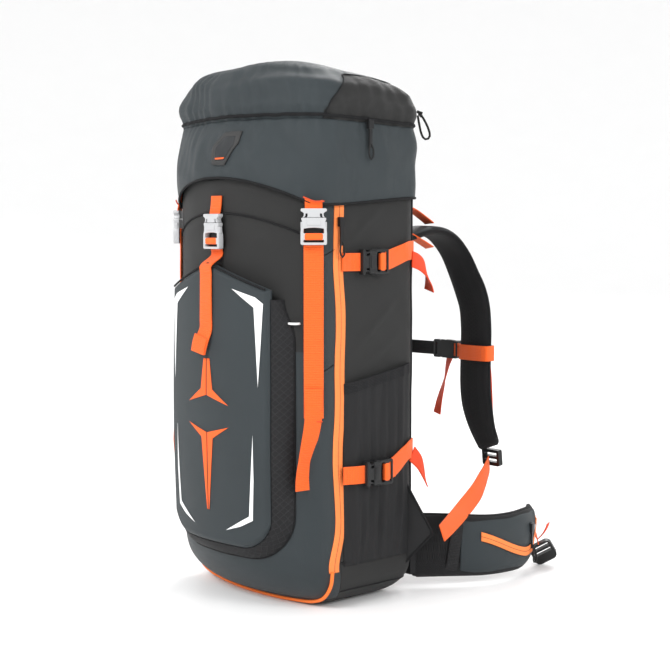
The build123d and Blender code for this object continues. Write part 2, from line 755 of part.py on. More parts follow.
def hip_anchor():
    """Block under the lumbar pad that holds the fin's round root."""
    low, high = FIN_LOW + 12, FIN_TOP_ROOT - 4
    block = slab(FIN_ROOT[0] - 18, FIN_ROOT[0] + 14, BACK_Y, FIN_ROOT[1] - 5, low, high)
    groove = Pos(FIN_ROOT[0], FIN_ROOT[1], (low + high) / 2) * Cylinder(FIN_T / 2 + CLEAR, 200)
    return block - groove


def fin_across():
    """Level direction across the fin's end, away from the hip."""
    turn = math.radians(FIN_END)
    return (math.cos(turn), math.sin(turn), 0)


def hip_web_start():
    """Where the belt webbing leaves the fin's end."""
    x, y = fin_point(FIN_END, FIN_R)
    return (x - 1.7, y + 2.16, HIP_WEB_Z)


def hip_webbing():
    """Belt webbing that comes out of the fin's end."""
    return strip(hip_web_start(), HIP_BUCKLE_TOP, fin_across(), WEB_W, WEB_T)


def hip_buckle():
    """Belt buckle half, leaning on the end of its webbing."""
    plate = slab(-17, 17, -5, 5, -30, 0)
    plate = fillet(plate.edges().filter_by(Axis.Y), 8)
    for z in (-6, -14):
        plate -= slab(-13, 13, -6, 6, z - 2.5, z + 2.5)
    plate -= slab(-9, 9, -2, 2, -31, -18)
    along = (Vector(*hip_web_start()) - Vector(*HIP_BUCKLE_TOP)).normalized()
    across = Vector(*fin_across())
    outward = along.cross(across).normalized()
    return placed(plate, HIP_BUCKLE_TOP, outward, along)


def haul_loop():
    """Grab loop at the top of the back, sewn down at both ends."""
    ring = Torus(HAUL_HALF, HAUL_R) & slab(-REACH, REACH, 0, REACH, -REACH, REACH)
    return Pos(0, HAUL_Y, HAUL_Z) * Rot(-HAUL_DROOP, 0, 0) * ring


def gear_loop(x, height, lean):
    """Small sewn loop on the front."""
    y = FRONT_Y + FRONT_R - math.sqrt(FRONT_R ** 2 - x ** 2) + lean
    ring = Torus(LOOP_HALF, LOOP_R) & slab(-REACH, REACH, -REACH, 0, -REACH, REACH)
    turn = math.degrees(math.asin(x / FRONT_R))
    placed_ring = Pos(x, y, height) * Rot(0, 0, turn) * ring
    return placed_ring - block_at(0.0)


def hip_slider():
    """Zip slider on the hip pocket, where its arc of travel starts."""
    x, y = fin_point(HIP_SLIDER_ANGLE, FIN_R + FIN_T / 2 + FIN_POCKET_T + CLEAR)
    turn = math.radians(HIP_SLIDER_ANGLE)
    outward = (math.cos(turn), math.sin(turn), 0)
    return placed(zip_slider(), (x, y, HIP_ZIP_Z), outward, (0, 0, 1))


def save(name, *shapes):
    """Write one node from one or more solids."""
    found = [solid for shape in shapes for solid in shape.solids()]
    whole = found[0] if len(found) == 1 else Compound(children=found)
    export_step(whole, f"parts/{name}.step")
    print(name, len(found), round(sum(solid.volume for solid in found)))


def save_pair(name, shape):
    """Write the piece on the wearer's right and its mirror on the left."""
    save(name + "_right", *shape)
    save(name + "_left", *[mirrored(piece) for piece in shape])


def save_bag():
    """Panels, pockets and what is inside them."""
    for name, panel in main_panels().items():
        save(name, panel)
    save("collar", collar())
    save("collar_drawcord", collar_drawcord())
    save("frame_sheet", frame_sheet())
    save("frame_stays", *frame_stays())
    panel, gusset = front_pocket()
    save("front_pocket_panel", panel)
    save("front_pocket_gusset", gusset)
    save_pair("mesh_pocket", [mesh_pocket()])
    tape = side_zip()
    save("front_zips", tape, mirrored(tape))
    seat = (HALF_W + ZIP_T + CLEAR, ZIP_Y, SLIDER_REST_Z)
    save_pair("front_zip_slider", [placed(zip_slider(), seat, (1, 0, 0), (0, 0, 1))])
    loops = [gear_loop(LOOP_X, LOOP_HIGH_Z, 0), gear_loop(LOW_LOOP_X, LOOP_LOW_Z, 6)]
    save("gear_loops", *loops, *[mirrored(loop) for loop in loops])


def save_closures():
    """Straps and buckles on the outside of the bag."""
    lid_strap, lid_socket, lid_plug, lid_stub = lid_closure()
    stash_strap, stash_socket, stash_plug, stash_stub = front_closure()
    sockets = [stash_socket]
    webbing = [stash_strap, stash_stub, lid_strap, mirrored(lid_strap)]
    for name, height in (("upper", UPPER_STRAP_Z), ("lower", LOWER_STRAP_Z)):
        strap, socket, plug, stub = side_compression(height)
        webbing += [strap, mirrored(strap), stub, mirrored(stub)]
        sockets += [socket, mirrored(socket)]
        save_pair(f"side_plug_{name}", [plug])
    save("bag_webbing", *webbing)
    save("fixed_sockets", *sockets)
    save("stash_plug", stash_plug)
    save_pair("lid_socket", [lid_socket])
    save("lid_plugs", lid_plug, mirrored(lid_plug))
    save("lid_stubs", lid_stub, mirrored(lid_stub))


def save_lid():
    """Lid, its floor, zip and badge, and the hem it hangs on."""
    shell, floor, tape, badge = lid_pieces()
    save("lid_shell", shell)
    save("lid_pocket_floor", floor)
    save("lid_zip", tape)
    save("lid_badge", badge)
    save("lid_hinge_hem", lid_hinge_hem())
    face = HALF_W + LID_CLEAR + LID_WALL + ZIP_T + CLEAR
    save("lid_zip_slider", placed(zip_slider(), (face, 8, LID_ZIP_Z), (1, 0, 0), (0, 0, 1)))


def save_harness():
    """Back pads, yoke, shoulder straps, sternum strap and hip belt."""
    save("back_pads", *back_pads())
    save("lumbar_pad", lumbar_pad())
    save("harness_yoke", harness_yoke())
    save("haul_loop", haul_loop())
    save_pair("shoulder_strap", [shoulder_strap()])
    face = strap_face(WEB_OFF, WEB_T, WEB_W - 5, 200, 400)
    save_pair("strap_webbing", [face, sternum_rail(), lower_webbing(), load_lifter()])
    save_pair("ladder_lock", [ladder_lock()])
    socket, plug = sternum_buckle()
    save("sternum_slider_right", sternum_slider(STERNUM_MOUTH_X + 12))
    save("sternum_slider_left", mirrored(sternum_slider(-STERNUM_MOUTH_X + 2)))
    save("sternum_socket", socket)
    save("sternum_plug", plug)
    wing, anchor = stabiliser_wing(), hip_anchor()
    save("stabiliser_wings", wing, mirrored(wing))
    save("hip_anchors", anchor, mirrored(anchor))
    save_pair("hip_fin", [hip_fin()])
    save_pair("hip_pocket", [hip_pocket()])
    save_pair("hip_zip_slider", [hip_slider()])
    save_pair("hip_webbing", [hip_webbing()])
    save_pair("hip_buckle", [hip_buckle()])


save_bag()
save_closures()
save_lid()
save_harness()
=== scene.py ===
import logging
import math
from dataclasses import dataclass
from enum import Enum
from typing import Callable, Iterable, Optional, Sequence

import bmesh
import bpy
from mathutils import Matrix, Vector, noise


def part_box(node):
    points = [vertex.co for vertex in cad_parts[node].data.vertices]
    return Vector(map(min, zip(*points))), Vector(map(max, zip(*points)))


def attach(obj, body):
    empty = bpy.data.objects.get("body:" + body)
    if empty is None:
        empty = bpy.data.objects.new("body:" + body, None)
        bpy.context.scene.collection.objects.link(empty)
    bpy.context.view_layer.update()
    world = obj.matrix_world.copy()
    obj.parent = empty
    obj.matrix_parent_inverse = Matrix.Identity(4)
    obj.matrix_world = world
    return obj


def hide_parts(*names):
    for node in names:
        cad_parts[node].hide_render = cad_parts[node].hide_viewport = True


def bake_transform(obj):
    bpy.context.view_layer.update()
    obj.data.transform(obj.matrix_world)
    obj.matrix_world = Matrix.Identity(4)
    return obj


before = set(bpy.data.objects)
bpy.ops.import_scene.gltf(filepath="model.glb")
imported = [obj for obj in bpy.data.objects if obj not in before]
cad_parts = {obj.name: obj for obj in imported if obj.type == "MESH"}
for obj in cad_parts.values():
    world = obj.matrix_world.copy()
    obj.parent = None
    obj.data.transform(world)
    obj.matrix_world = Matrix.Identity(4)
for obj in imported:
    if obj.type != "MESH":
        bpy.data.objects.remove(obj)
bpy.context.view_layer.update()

LOG = logging.getLogger("pack")
MM = 0.001
SIDES = (("right", 1), ("left", -1))
SurfaceMap = Callable[[float, float], Vector]
Colour = tuple[float, float, float, float]
# Depth of the cloths' fine relief, in metres.
BUMP_REACH = 0.0006
# A height in the bag's upright part, where its outline is full.
PLAIN_H = 0.4


def mm(x: float, y: float, z: float) -> Vector:
    """Return a point given in millimetres, in metres."""
    return Vector((x, y, z)) * MM


def smooth(low: float, high: float, value: float) -> float:
    """Return 0 below low, 1 above high, and an even turn between them."""
    t = min(1.0, max(0.0, (value - low) / (high - low)))
    return t * t * (3 - 2 * t)


def on_side(side: int, near: float, far: float) -> tuple[float, float]:
    """Return a span of running lengths on the wearer's right (1) or left (-1), its lower end first."""
    return (near, far) if side > 0 else (-far, -near)


def once(node: str, side: int) -> list[str]:
    """Return a node that spans both sides for the right-hand piece only, since it is replaced once."""
    return [node] if side > 0 else []


# ---------------------------------------------------------------- finishes


class Weave(Enum):
    """Which surface pattern a cloth carries."""

    PLAIN = "plain"
    DIAMOND = "diamond"
    MESH = "mesh"
    SPACER = "spacer"
    RIB = "rib"


class Kit:
    """Shader node groups that more than one finish uses, built once."""

    made: dict[str, bpy.types.NodeTree] = {}

    @classmethod
    def start(cls, name: str, inputs: Sequence[tuple[str, float]]) -> tuple:
        """Open a new group with float inputs and the outputs Height and Mask.

        Args:
            name: The group's name.
            inputs: Input names with their first values.

        Returns:
            The tree, its input node and its output node.
        """
        tree = bpy.data.node_groups.new(name, "ShaderNodeTree")
        for label, value in inputs:
            socket = tree.interface.new_socket(name=label, in_out="INPUT", socket_type="NodeSocketFloat")
            socket.default_value = value
        tree.interface.new_socket(name="Vector", in_out="INPUT", socket_type="NodeSocketVector")
        for label in ("Height", "Mask"):
            tree.interface.new_socket(name=label, in_out="OUTPUT", socket_type="NodeSocketFloat")
        return tree, tree.nodes.new("NodeGroupInput"), tree.nodes.new("NodeGroupOutput")

    @staticmethod
    def math(tree: bpy.types.NodeTree, kind: str, first: object, second: object = None) -> object:
        """Add a math node fed by sockets or numbers and return its output."""
        node = tree.nodes.new("ShaderNodeMath")
        node.operation = kind
        for index, value in enumerate((first, second)):
            if value is None:
                continue
            if isinstance(value, (int, float)):
                node.inputs[index].default_value = value
            else:
                tree.links.new(value, node.inputs[index])
        return node.outputs[0]

    @classmethod
    def wave_pair(cls, tree: bpy.types.NodeTree, vector: object, pitch: object) -> tuple:
        """Return sine waves along the two directions of a UV map at a pitch in metres."""
        split = tree.nodes.new("ShaderNodeSeparateXYZ")
        tree.links.new(vector, split.inputs[0])
        waves = []
        for axis in (0, 1):
            turns = cls.math(tree, "DIVIDE", split.outputs[axis], pitch)
            angle = cls.math(tree, "MULTIPLY", turns, 2 * math.pi)
            waves.append(cls.math(tree, "SINE", angle))
        return waves[0], waves[1]

    @classmethod
    def weave(cls, kind: Weave) -> bpy.types.NodeTree:
        """Return the group that draws one kind of cloth.

        Args:
            kind: The cloth's pattern.

        Returns:
            A group with the input Pitch and the outputs Height and Mask.
        """
        name = "cloth_" + kind.value
        if name in cls.made:
            return cls.made[name]
        tree, source, sink = cls.start(name, [("Pitch", 0.002)])
        vector, pitch = source.outputs["Vector"], source.outputs["Pitch"]
        if kind is Weave.DIAMOND:
            turn = tree.nodes.new("ShaderNodeMapping")
            turn.inputs["Rotation"].default_value = (0, 0, math.radians(45))
            tree.links.new(vector, turn.inputs["Vector"])
            vector = turn.outputs[0]
        across, along = cls.wave_pair(tree, vector, pitch)
        product = cls.math(tree, "MULTIPLY", across, along)
        if kind is Weave.PLAIN:
            height = product
            mask = cls.math(tree, "ABSOLUTE", product)
        elif kind is Weave.DIAMOND:
            lines = cls.math(tree, "MAXIMUM", across, along)
            ridge = cls.math(tree, "MAXIMUM", cls.math(tree, "SUBTRACT", lines, 0.82), 0.0)
            mask = cls.math(tree, "SMOOTH_MIN", ridge, 1.0)
            mask = cls.math(tree, "MULTIPLY", mask, 5.0)
            height = mask
        elif kind is Weave.RIB:
            height = cls.math(tree, "ADD", along, cls.math(tree, "MULTIPLY", across, 0.35))
            mask = cls.math(tree, "MULTIPLY", cls.math(tree, "ADD", height, 1.35), 0.37)
        else:
            holes = cls.math(tree, "GREATER_THAN", product, 0.35)
            mask = holes
            height = cls.math(tree, "SUBTRACT", 1.0, cls.math(tree, "MAXIMUM", product, 0.0))
        tree.links.new(height, sink.inputs["Height"])
        tree.links.new(mask, sink.inputs["Mask"])
        cls.made[name] = tree
        return tree

    @classmethod
    def wear(cls) -> bpy.types.NodeTree:
        """Return the group for broad tone changes and fine dust.

        Returns:
            A group whose Mask is a soft cloud between 0 and 1 and whose Height is fine grain.
        """
        if "wear" in cls.made:
            return cls.made["wear"]
        tree, source, sink = cls.start("wear", [("Scale", 9.0), ("Grain", 900.0)])
        cloud = tree.nodes.new("ShaderNodeTexNoise")
        cloud.inputs["Detail"].default_value = 4.0
        grain = tree.nodes.new("ShaderNodeTexNoise")
        grain.inputs["Detail"].default_value = 1.0
        for node, label in ((cloud, "Scale"), (grain, "Grain")):
            tree.links.new(source.outputs["Vector"], node.inputs["Vector"])
            tree.links.new(source.outputs[label], node.inputs["Scale"])
        tree.links.new(cloud.outputs[0], sink.inputs["Mask"])
        tree.links.new(grain.outputs[0], sink.inputs["Height"])
        cls.made["wear"] = tree
        return tree


@dataclass(frozen=True)
class Finish:
    """One surface: colour, gloss, cloth pattern and wear."""

    name: str
    slot: str
    colour: tuple[float, float, float]
    roughness: float = 0.6
    weave: Optional[Weave] = None
    pitch: float = 0.0016
    depth: float = 0.3
    contrast: float = 0.25
    cloud: float = 0.18
    metallic: float = 0.0
    sheen: float = 0.0
    coat: float = 0.0
    specular: float = 0.28
    centre_line: float = 0.0

    def mixed(self, tree: bpy.types.NodeTree, factor: object, first: object, second: Colour) -> object:
        """Mix a colour over another by a mask socket and return the result."""
        mix = tree.nodes.new("ShaderNodeMix")
        mix.data_type = "RGBA"
        tree.links.new(factor, mix.inputs[0])
        if isinstance(first, tuple):
            mix.inputs[6].default_value = first
        else:
            tree.links.new(first, mix.inputs[6])
        mix.inputs[7].default_value = second
        return mix.outputs[2]

    def material(self) -> bpy.types.Material:
        """Build the finish's material, or return it if it is made.

        Returns:
            The material.
        """
        found = bpy.data.materials.get(self.name)
        if found:
            return found
        made = bpy.data.materials.new(self.name)
        made.use_nodes = True
        tree = made.node_tree
        shader = tree.nodes["Principled BSDF"]
        shader.inputs["Metallic"].default_value = self.metallic
        shader.inputs["Sheen Weight"].default_value = self.sheen
        shader.inputs["Coat Weight"].default_value = self.coat
        shader.inputs["Specular IOR Level"].default_value = self.specular
        place = tree.nodes.new("ShaderNodeTexCoord")
        wear = tree.nodes.new("ShaderNodeGroup")
        wear.node_tree = Kit.wear()
        tree.links.new(place.outputs["Object"], wear.inputs["Vector"])
        pale = tuple(min(1.0, c * (1 + self.cloud) + 0.01 * self.cloud) for c in self.colour)
        deep = tuple(c * (1 - self.cloud) for c in self.colour)
        colour = self.mixed(tree, wear.outputs["Mask"], (*deep, 1.0), (*pale, 1.0))
        height = wear.outputs["Height"]
        if self.weave:
            cloth = tree.nodes.new("ShaderNodeGroup")
            cloth.node_tree = Kit.weave(self.weave)
            cloth.inputs["Pitch"].default_value = self.pitch
            tree.links.new(place.outputs["UV"], cloth.inputs["Vector"])
            fade = Kit.math(tree, "MULTIPLY", cloth.outputs["Mask"], self.contrast)
            dark = self.weave in (Weave.MESH, Weave.SPACER, Weave.PLAIN)
            tone = 0.25 if dark else 1.0
            second = tuple(c * 0.3 if dark else min(1.0, c * 1.6 + 0.012) for c in self.colour)
            if self.weave is Weave.RIB:
                second = tuple(min(1.0, c * 1.25) for c in self.colour)
            colour = self.mixed(tree, fade, colour, (*second, 1.0))
            grain = Kit.math(tree, "MULTIPLY", height, tone)
            height = Kit.math(tree, "ADD", cloth.outputs["Height"], grain)
        if self.centre_line:
            colour = self.lined(tree, place.outputs["UV"], colour)
        bump = tree.nodes.new("ShaderNodeBump")
        bump.inputs["Strength"].default_value = self.depth
        bump.inputs["Distance"].default_value = BUMP_REACH
        tree.links.new(height, bump.inputs["Height"])
        tree.links.new(bump.outputs[0], shader.inputs["Normal"])
        tree.links.new(colour, shader.inputs["Base Color"])
        patchy = Kit.math(tree, "MULTIPLY", wear.outputs["Mask"], 0.14)
        rough = Kit.math(tree, "ADD", self.roughness - 0.06, patchy)
        tree.links.new(rough, shader.inputs["Roughness"])
        made.diffuse_color = (*self.colour, 1.0)
        return made

    def lined(self, tree: bpy.types.NodeTree, vector: object, colour: object) -> object:
        """Draw a dark line along the middle of a tape, where its two edges meet."""
        split = tree.nodes.new("ShaderNodeSeparateXYZ")
        tree.links.new(vector, split.inputs[0])
        near = Kit.math(tree, "LESS_THAN", Kit.math(tree, "ABSOLUTE", split.outputs[0]), self.centre_line)
        fade = Kit.math(tree, "MULTIPLY", near, 0.75)
        return self.mixed(tree, fade, colour, (self.colour[0] * 0.35, self.colour[1] * 0.25, 0.02, 1.0))


GREY = Finish("slate_cloth", "shell_grey", (0.024, 0.032, 0.036), 0.5, Weave.PLAIN, 0.0013, 0.35, 0.3,
              sheen=0.03)
CHARCOAL = Finish("charcoal_cloth", "shell_black", (0.0165, 0.0165, 0.0162), 0.62, Weave.PLAIN, 0.0016,
                  0.45, 0.4, sheen=0.03)
LINING = Finish("lining_cloth", "shell_black", (0.03, 0.031, 0.033), 0.7, Weave.PLAIN, 0.001, 0.2, 0.2)
BINDING = Finish("binding_tape", "shell_black", (0.007, 0.007, 0.008), 0.75, Weave.RIB, 0.002, 0.5, 0.4)
DIAMOND = Finish("diamond_mesh", "mesh_black", (0.006, 0.006, 0.007), 0.6, Weave.DIAMOND, 0.0065, 0.8, 0.7)
MESH = Finish("pocket_mesh", "mesh_black", (0.014, 0.014, 0.015), 0.7, Weave.MESH, 0.0024, 0.9, 0.85)
MESH_WING = Finish("wing_mesh", "mesh_black", (0.014, 0.014, 0.015), 0.7, Weave.MESH, 0.05, 0.5, 0.4)
SPACER = Finish("spacer_mesh", "foam_black", (0.010, 0.010, 0.011), 0.85, Weave.SPACER, 0.0034, 0.9, 0.7,
                sheen=0.06)
FOAM_EDGE = Finish("foam_cloth", "foam_black", (0.008, 0.008, 0.009), 0.8, Weave.PLAIN, 0.002, 0.6, 0.4,
                   sheen=0.05)
ORANGE = Finish("orange_webbing", "webbing_orange", (0.86, 0.115, 0.012), 0.62, Weave.RIB, 0.0022, 0.6, 0.55,
                cloud=0.05, sheen=0.1)
# Darker copy of the orange webbing for hanging free tails: painted shade, not a different dye.
ORANGE_PAINTED_SHADE = Finish("orange_webbing_shaded", "webbing_orange", (0.74, 0.055, 0.008), 0.6, Weave.RIB, 0.0022,
                     0.6, 0.5, cloud=0.05)
STITCH = Finish("orange_thread", "webbing_orange", (0.62, 0.07, 0.02), 0.7, None, depth=0.6)
TAPE = Finish("zip_tape", "zip_orange", (0.93, 0.235, 0.06), 0.6, Weave.RIB, 0.0018, 0.45, 0.4, cloud=0.05,
              centre_line=0.0006)
TAPE_PLAIN = Finish("orange_piping", "zip_orange", (0.90, 0.19, 0.035), 0.6, None, depth=0.4, cloud=0.06)
BLACK_WEB = Finish("black_webbing", "webbing_black", (0.014, 0.014, 0.015), 0.7, Weave.RIB, 0.0022, 0.6, 0.5)
CORD_BLACK = Finish("black_cord", "cord_black", (0.012, 0.012, 0.012), 0.7, None, depth=0.6)
CORD_WHITE = Finish("white_cord", "cord_white", (0.78, 0.78, 0.77), 0.6, None, depth=0.5, cloud=0.04)
PRINT_WHITE = Finish("pale_print", "cord_white", (0.86, 0.87, 0.87), 0.45, None, depth=0.1, cloud=0.03)
PRINT_ORANGE = Finish("orange_print", "webbing_orange", (0.86, 0.12, 0.02), 0.5, None, depth=0.1, cloud=0.05)
SILVER = Finish("silver_moulding", "buckle_silver", (0.47, 0.475, 0.485), 0.36, None, depth=0.12, cloud=0.05,
                metallic=0.1, coat=0.1)
BLACK = Finish("black_moulding", "buckle_black", (0.010, 0.0105, 0.011), 0.4, None, depth=0.2, coat=0.05)
METAL = Finish("painted_slider", "slider_metal", (0.02, 0.02, 0.021), 0.35, None, depth=0.1, metallic=0.5)
RUBBER = Finish("badge_rubber", "badge_rubber", (0.009, 0.010, 0.011), 0.6, None, depth=0.3)
RUBBER_LIGHT = Finish("badge_panel", "badge_rubber", (0.020, 0.022, 0.024), 0.5, None, depth=0.4)
SHEET = Finish("black_sheet", "frame_sheet", (0.03, 0.03, 0.032), 0.45, None, depth=0.2)
STAY = Finish("bare_aluminium", "stay_aluminium", (0.62, 0.62, 0.64), 0.35, None, depth=0.2, metallic=1.0)
PAPER = Finish("floor_paper", "shell_grey", (0.93, 0.93, 0.93), 0.4, None, depth=0.02, cloud=0.01)
SecondCloth = tuple[Finish, Callable[[float, float], bool]]


# ---------------------------------------------------------------- making pieces


def dress(thing: bpy.types.Object, finish: Finish, body: str, nodes: Iterable[str] = ()) -> bpy.types.Object:
    """Give a piece its material and body.

    Args:
        thing: The finished object.
        finish: Its surface.
        body: The body it moves with, or nothing to leave it unattached.
        nodes: CAD nodes that it stands for.

    Returns:
        The same object.
    """
    if not thing.data.materials:
        thing.data.materials.append(finish.material())
    if body:
        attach(thing, body)
    names = list(nodes)
    if names:
        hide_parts(*names)
    return thing


def add_object(name: str, data: bpy.types.ID) -> bpy.types.Object:
    """Put a new object with this data into the scene."""
    made = bpy.data.objects.new(name, data)
    bpy.context.scene.collection.objects.link(made)
    return made


def object_from(bm: bmesh.types.BMesh, name: str, sharp: float = 40.0) -> bpy.types.Object:
    """Turn a bmesh into a smooth-shaded object in the scene."""
    mesh = bpy.data.meshes.new(name)
    bm.to_mesh(mesh)
    bm.free()
    for face in mesh.polygons:
        face.use_smooth = True
    mesh.set_sharp_from_angle(angle=math.radians(sharp))
    return add_object(name, mesh)


def thicken(thing: bpy.types.Object, thickness: float, offset: float = -1.0, edge: float = 0.0) -> None:
    """Give a cloth its thickness inwards (-1) or outwards (1), and rounded edges if edge isn't 0."""
    wall = thing.modifiers.new("wall", "SOLIDIFY")
    wall.thickness = thickness
    wall.offset = offset
    if edge:
        roll = thing.modifiers.new("roll", "BEVEL")
        roll.width = edge
        roll.segments = 2
        roll.limit_method = "ANGLE"
        roll.angle_limit = math.radians(50)


@dataclass
class Patch:
    """A cloth patch: a grid laid on a surface given by two running lengths, in metres."""

    name: str
    surface: SurfaceMap
    u_span: tuple[float, float]
    v_span: tuple[float, float]
    steps: tuple[int, int]
    thickness: float = 1.2 * MM
    closed: bool = False
    edge: float = 0.0

    def build(self, finish: Finish, body: str, nodes: Iterable[str] = (),
              second: Optional[SecondCloth] = None) -> bpy.types.Object:
        """Lay the grid, give it a wall, and dress it.

        Args:
            finish: Its main surface.
            body: The body it moves with.
            nodes: CAD nodes that it stands for.
            second: Another finish, and the test for where it shows.

        Returns:
            The object.
        """
        bm = bmesh.new()
        bmesh.ops.create_grid(bm, x_segments=self.steps[0], y_segments=self.steps[1], size=1.0)
        layer = bm.loops.layers.uv.new("UVMap")
        at = {}
        for vert in bm.verts:
            u = self.u_span[0] + (self.u_span[1] - self.u_span[0]) * (vert.co.x + 1) / 2
            v = self.v_span[0] + (self.v_span[1] - self.v_span[0]) * (vert.co.y + 1) / 2
            at[vert.index] = (u, v)
        for face in bm.faces:
            us = [at[vert.index] for vert in face.verts]
            if second and second[1](sum(u for u, _ in us) / 4, sum(v for _, v in us) / 4):
                face.material_index = 1
            for loop in face.loops:
                loop[layer].uv = at[loop.vert.index]
        for vert in bm.verts:
            vert.co = self.surface(*at[vert.index])
        if self.closed:
            bmesh.ops.remove_doubles(bm, verts=bm.verts[:], dist=0.00005)
        made = object_from(bm, self.name)
        made.data.materials.append(finish.material())
        if second:
            made.data.materials.append(second[0].material())
        if self.thickness:
            thicken(made, self.thickness, edge=self.edge)
        return dress(made, finish, body, nodes)


def stretch_uv(thing: bpy.types.Object, tall: float) -> None:
    """Scale a piece's UV map upwards, from shares of its height to metres."""
    layer = thing.data.uv_layers.active.data
    for loop in thing.data.loops:
        u, v = layer[loop.index].uv
        layer[loop.index].uv = (u, v * tall)


def flat_figure(name: str, corners: Sequence[tuple[float, float]], lay: Callable[[Vector], Vector],
                thickness: float, finish: Finish, body: str, nodes: Iterable[str] = ()) -> None:
    """Lay a flat figure on a cloth's outer face.

    Args:
        name: The figure's name.
        corners: Its corners as x and z in millimetres, in order.
        lay: Gives the place on the cloth of a point of the figure.
        thickness: How thick it stands.
        finish: Its surface.
        body: The body it moves with.
        nodes: CAD nodes that it stands for.
    """
    bm = bmesh.new()
    bm.faces.new([bm.verts.new((x * MM, 0.0, z * MM)) for x, z in corners])
    bm.normal_update()
    bmesh.ops.triangulate(bm, faces=bm.faces[:])
    for _ in range(3):
        bmesh.ops.subdivide_edges(bm, edges=bm.edges[:], cuts=1, use_grid_fill=True)
    bmesh.ops.triangulate(bm, faces=bm.faces[:])
    for vert in bm.verts:
        vert.co = lay(vert.co)
    bmesh.ops.recalc_face_normals(bm, faces=bm.faces[:])
    if sum(face.normal.y * face.calc_area() for face in bm.faces) > 0:
        bmesh.ops.reverse_faces(bm, faces=bm.faces[:])
    made = object_from(bm, name)
    thicken(made, thickness, 1.0)
    dress(made, finish, body, nodes)


def curve_points(points: Sequence[Vector], count: int) -> list[Vector]:
    """Return evenly stepped points on a smooth line through the given points.

    Args:
        points: Points that the line passes through.
        count: How many points to return.

    Returns:
        The points, the first and last as given.
    """
    chain = [points[0] * 2 - points[1], *points, points[-1] * 2 - points[-2]]
    dense = []
    for i in range(1, len(chain) - 2):
        a, b, c, d = chain[i - 1:i + 3]
        for k in range(16):
            t = k / 16
            dense.append(0.5 * ((2 * b) + (c - a) * t + (2 * a - 5 * b + 4 * c - d) * t * t
                                + (3 * b - 3 * c + d - a) * t ** 3))
    dense.append(points[-1].copy())
    lengths = [0.0]
    for a, b in zip(dense, dense[1:]):
        lengths.append(lengths[-1] + (b - a).length)
    result, j = [], 0
    for k in range(count):
        want = lengths[-1] * k / (count - 1)
        while j < len(dense) - 2 and lengths[j + 1] < want:
            j += 1
        span = max(lengths[j + 1] - lengths[j], 1e-9)
        result.append(dense[j].lerp(dense[j + 1], (want - lengths[j]) / span))
    return result


@dataclass
class Ribbon:
    """Webbing or tape along a smooth line: centre points and the directions that it faces."""

    name: str
    points: Sequence[Vector]
    facing: Sequence[Vector]
    width: float
    thickness: float = 1.5 * MM
    step: float = 4 * MM
    across: int = 4
    crown: float = 0.0

    def build(self, finish: Finish, body: str, nodes: Iterable[str] = ()) -> bpy.types.Object:
        """Sweep the flat section along the line.

        Args:
            finish: Its surface.
            body: The body it moves with.
            nodes: CAD nodes that it stands for.

        Returns:
            The object.
        """
        length = sum((b - a).length for a, b in zip(self.points, self.points[1:]))
        count = max(3, int(length / self.step) + 2)
        line = curve_points(self.points, count)
        face = curve_points(self.facing, count)
        frames = []
        for i, centre in enumerate(line):
            ahead = (line[min(i + 1, count - 1)] - line[max(i - 1, 0)]).normalized()
            out = (face[i] - ahead * face[i].dot(ahead)).normalized()
            frames.append((centre, ahead.cross(out).normalized(), out))

        def surface(u: float, v: float) -> Vector:
            """Return the point at u across and v along."""
            where = min(count - 1.0, max(0.0, v / length * (count - 1)))
            i = min(count - 2, int(where))
            t = where - i
            centre = frames[i][0].lerp(frames[i + 1][0], t)
            side = frames[i][1].lerp(frames[i + 1][1], t)
            out = frames[i][2].lerp(frames[i + 1][2], t)
            rise = self.crown * (1 - (2 * u / self.width) ** 2)
            return centre + side * u + out * rise

        half = self.width / 2
        patch = Patch(self.name, surface, (-half, half), (0.0, length), (self.across, count - 1),
                      self.thickness, edge=0.25 * MM)
        made = patch.build(finish, body, nodes)
        made.modifiers["wall"].offset = 0.0
        return made


def tube(name: str, points: Sequence[Vector], radius: float, finish: Finish, body: str,
         nodes: Iterable[str] = (), closed: bool = False, sides: int = 3) -> bpy.types.Object:
    """Make a round piping, cord or binding along a smooth line.

    Args:
        name: The piece's name.
        points: Points that the line passes through.
        radius: Half its thickness.
        finish: Its surface.
        body: The body it moves with.
        nodes: CAD nodes that it stands for.
        closed: Whether the line is a loop.
        sides: Bevel resolution of the round.

    Returns:
        The object, as a mesh.
    """
    curve = bpy.data.curves.new(name, "CURVE")
    curve.dimensions = "3D"
    curve.bevel_depth = radius
    curve.bevel_resolution = sides
    curve.use_fill_caps = True
    length = sum((b - a).length for a, b in zip(points, points[1:]))
    line = list(points) if closed else curve_points(points, max(4, int(length / (4 * MM))))
    spline = curve.splines.new("POLY")
    spline.points.add(len(line) - 1)
    for point, co in zip(spline.points, line):
        point.co = (*co, 1.0)
    spline.use_cyclic_u = closed
    spline.use_smooth = True
    holder = add_object(name + "_line", curve)
    depsgraph = bpy.context.evaluated_depsgraph_get()
    mesh = bpy.data.meshes.new_from_object(holder.evaluated_get(depsgraph))
    bpy.data.objects.remove(holder)
    mesh.name = name
    mesh.materials.clear()
    return dress(add_object(name, mesh), finish, body, nodes)


# ---------------------------------------------------------------- the bag's surface


